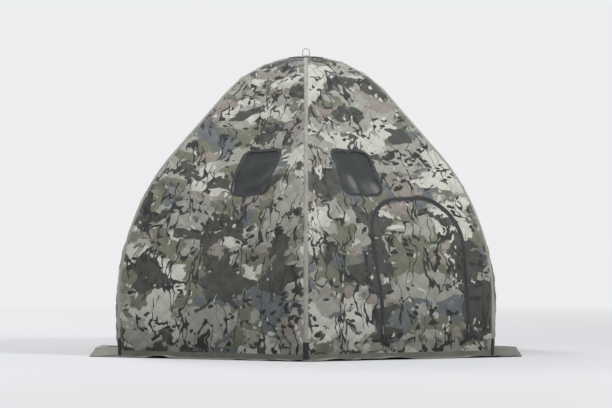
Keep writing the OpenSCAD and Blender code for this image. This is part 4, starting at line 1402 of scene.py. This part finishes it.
def make_keepers():
    """Webbing rings that hold the ribs to the cloth."""
    heap = Heap()
    half = KEEPER_L / 2
    places = [LEG_H * 0.6, LEG_H + SHOULDER_L * 0.3, LEG_H + SHOULDER_L * 0.7,
              LEG_H + SHOULDER_L + RAFTER_L * 0.55, RAFTER_END + CROWN_R * (PITCH - ROOT_SLOPE) * 0.5]
    inner, outer = ROD_R + ROD_FIT, SOCKET_R
    profile = [(inner, -half), (inner, half), (outer - 0.0005, half), (outer, half - 0.0005),
               (outer - 0.0003, half * 0.5), (outer - 0.0003, -half * 0.5), (outer, -half + 0.0005),
               (outer - 0.0005, -half)]
    q, h = np.array(profile).T
    t = np.linspace(0, 2 * pi, 28, endpoint=False)[:, None]
    plan = stacked(h, t * SOCKET_R)
    for k in range(SIDES):
        for girth in places:
            r, z, angle = (float(v) for v in rib_line(girth + half))
            c, s = cos(angle), sin(angle)
            away = q * np.cos(t) - FRAME_IN
            ring = stacked(r - s * h + c * away, q * np.sin(t), z + c * h + s * away)
            heap.add(turned(ring, FRONT + k * TURN), loft(ring.shape[:2], True), plan)
    heap.piece("keeper_rings", [WEBBING], replaces=["rib_keepers"], slot="dark_webbing", sharp=50)


# What the CAD model shows as it is

CAD_FINISHES = {
    "top_hub": NYLON, "rib_roots": NYLON, "rib_elbows": NYLON, "rib_feet": NYLON,
    "hub_pins": STEEL, "corner_eyelets": STEEL,
    **{"upper_rib_" + name: ROD for name in RIB_NAMES}, **{"lower_rib_" + name: ROD for name in RIB_NAMES},
}


def finish_cad_nodes():
    for name, material in CAD_FINISHES.items():
        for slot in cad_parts[name].material_slots:
            slot.link = "OBJECT"
            slot.material = material


# Stage, light and camera

CAMERA_FAR = 40.0
CAMERA_UP = 1.6
AIM_Z = 0.93
FRAME_W = 3.85
SENSOR_W = 36.0
FLOOR_SIZE = 300.0
BACKDROP = (0.84, 0.85, 0.86, 1.0)
SKY = (0.97, 0.985, 1.0, 1.0)
SKY_STRENGTH = 0.43
LAMP_AIM = Vector((0, 0, 0.9))
# Place, size and power of each lamp
LAMPS = {
    "key": ((7.0, -5.5, 7.0), 2.2, 640), "fill": ((-6.0, -6.0, 4.0), 4.5, 220),
    "top": ((-0.5, -0.5, 9.0), 3.5, 350), "back": ((-4.0, 7.5, 6.0), 3.5, 460),
}


def faced(place, aim):
    """The turn of a lamp or a camera that looks from a place at its aim."""
    return (aim - Vector(place)).to_track_quat("-Z", "Y").to_euler()


def make_stage():
    """A pale floor, soft light from above and from the right, and a long lens at eye height."""
    scene = bpy.context.scene
    scene.view_settings.view_transform = "Standard"
    bpy.ops.mesh.primitive_plane_add(size=FLOOR_SIZE, location=(0, 0, -0.0002))
    floor = bpy.context.object
    floor.name = "floor"
    f = Finish("pale_floor", Roughness=0.9, Specular_IOR_Level=0.1)
    f.done(f.mix(f.noise(f.place(), 2.0, 3.0), tint(190, 191, 193), tint(195, 196, 198)))
    # Far from the hut the floor fades into the backdrop, for the camera alone
    far = f.ramp(f.vector("LENGTH", f.place(), output="Value"), 2.6, 9.0)
    glow = f.make("Emission", {"Color": BACKDROP, "Strength": 1.0})
    faded = f.make("MixShader", {0: far * f.ray("Is Camera Ray"), 1: Wire(f, f.skin.outputs[0]), 2: glow})
    f.put(f.tree.nodes["Material Output"].inputs["Surface"], faded)
    floor.data.materials.append(f.material)

    world = bpy.data.worlds.new("studio")
    scene.world = world
    world.use_nodes = True
    w = Nodes(world.node_tree)
    ambient = w.tree.nodes["Background"]
    w.put(ambient.inputs["Color"], SKY)
    w.put(ambient.inputs["Strength"], SKY_STRENGTH)
    backdrop = w.make("Background", {"Color": BACKDROP})
    seen = w.math("MAXIMUM", w.ray("Is Camera Ray"), w.ray("Is Transmission Ray"))
    seen = w.math("MAXIMUM", seen, w.ray("Is Glossy Ray"))
    shown = w.make("MixShader", {0: seen, 1: Wire(w, ambient.outputs[0]), 2: backdrop})
    w.put(w.tree.nodes["World Output"].inputs["Surface"], shown)

    for name, (place, size, power) in LAMPS.items():
        lamp = bpy.data.lights.new(name, "AREA")
        lamp.shape, lamp.size, lamp.energy = "SQUARE", size, power
        holder = bpy.data.objects.new(name, lamp)
        holder.location, holder.rotation_euler = place, faced(place, LAMP_AIM)
        scene.collection.objects.link(holder)

    camera = bpy.data.objects.new("camera", bpy.data.cameras.new("camera"))
    scene.collection.objects.link(camera)
    camera.location = (0, -CAMERA_FAR, CAMERA_UP)
    camera.rotation_euler = faced(camera.location, Vector((0, 0, AIM_Z)))
    camera.data.sensor_width = SENSOR_W
    camera.data.lens = SENSOR_W * CAMERA_FAR / FRAME_W
    camera.data.clip_start, camera.data.clip_end = 1.0, 400.0
    scene.camera = camera


# The whole

cloths = make_panels()
leaf, leaf_area = make_door()
make_sliders()
make_windows()
make_vents()
make_seam_tapes()
make_crown()
for k in range(SIDES):
    make_skirt(k)
    make_tab(k)
make_keepers()
finish_cad_nodes()
SEAM_THREAD.piece("seam_thread", [THREAD], slot="camouflage_cloth")
TRIM_THREAD.piece("trim_thread", [DARK_THREAD], slot="dark_webbing")
make_stage()
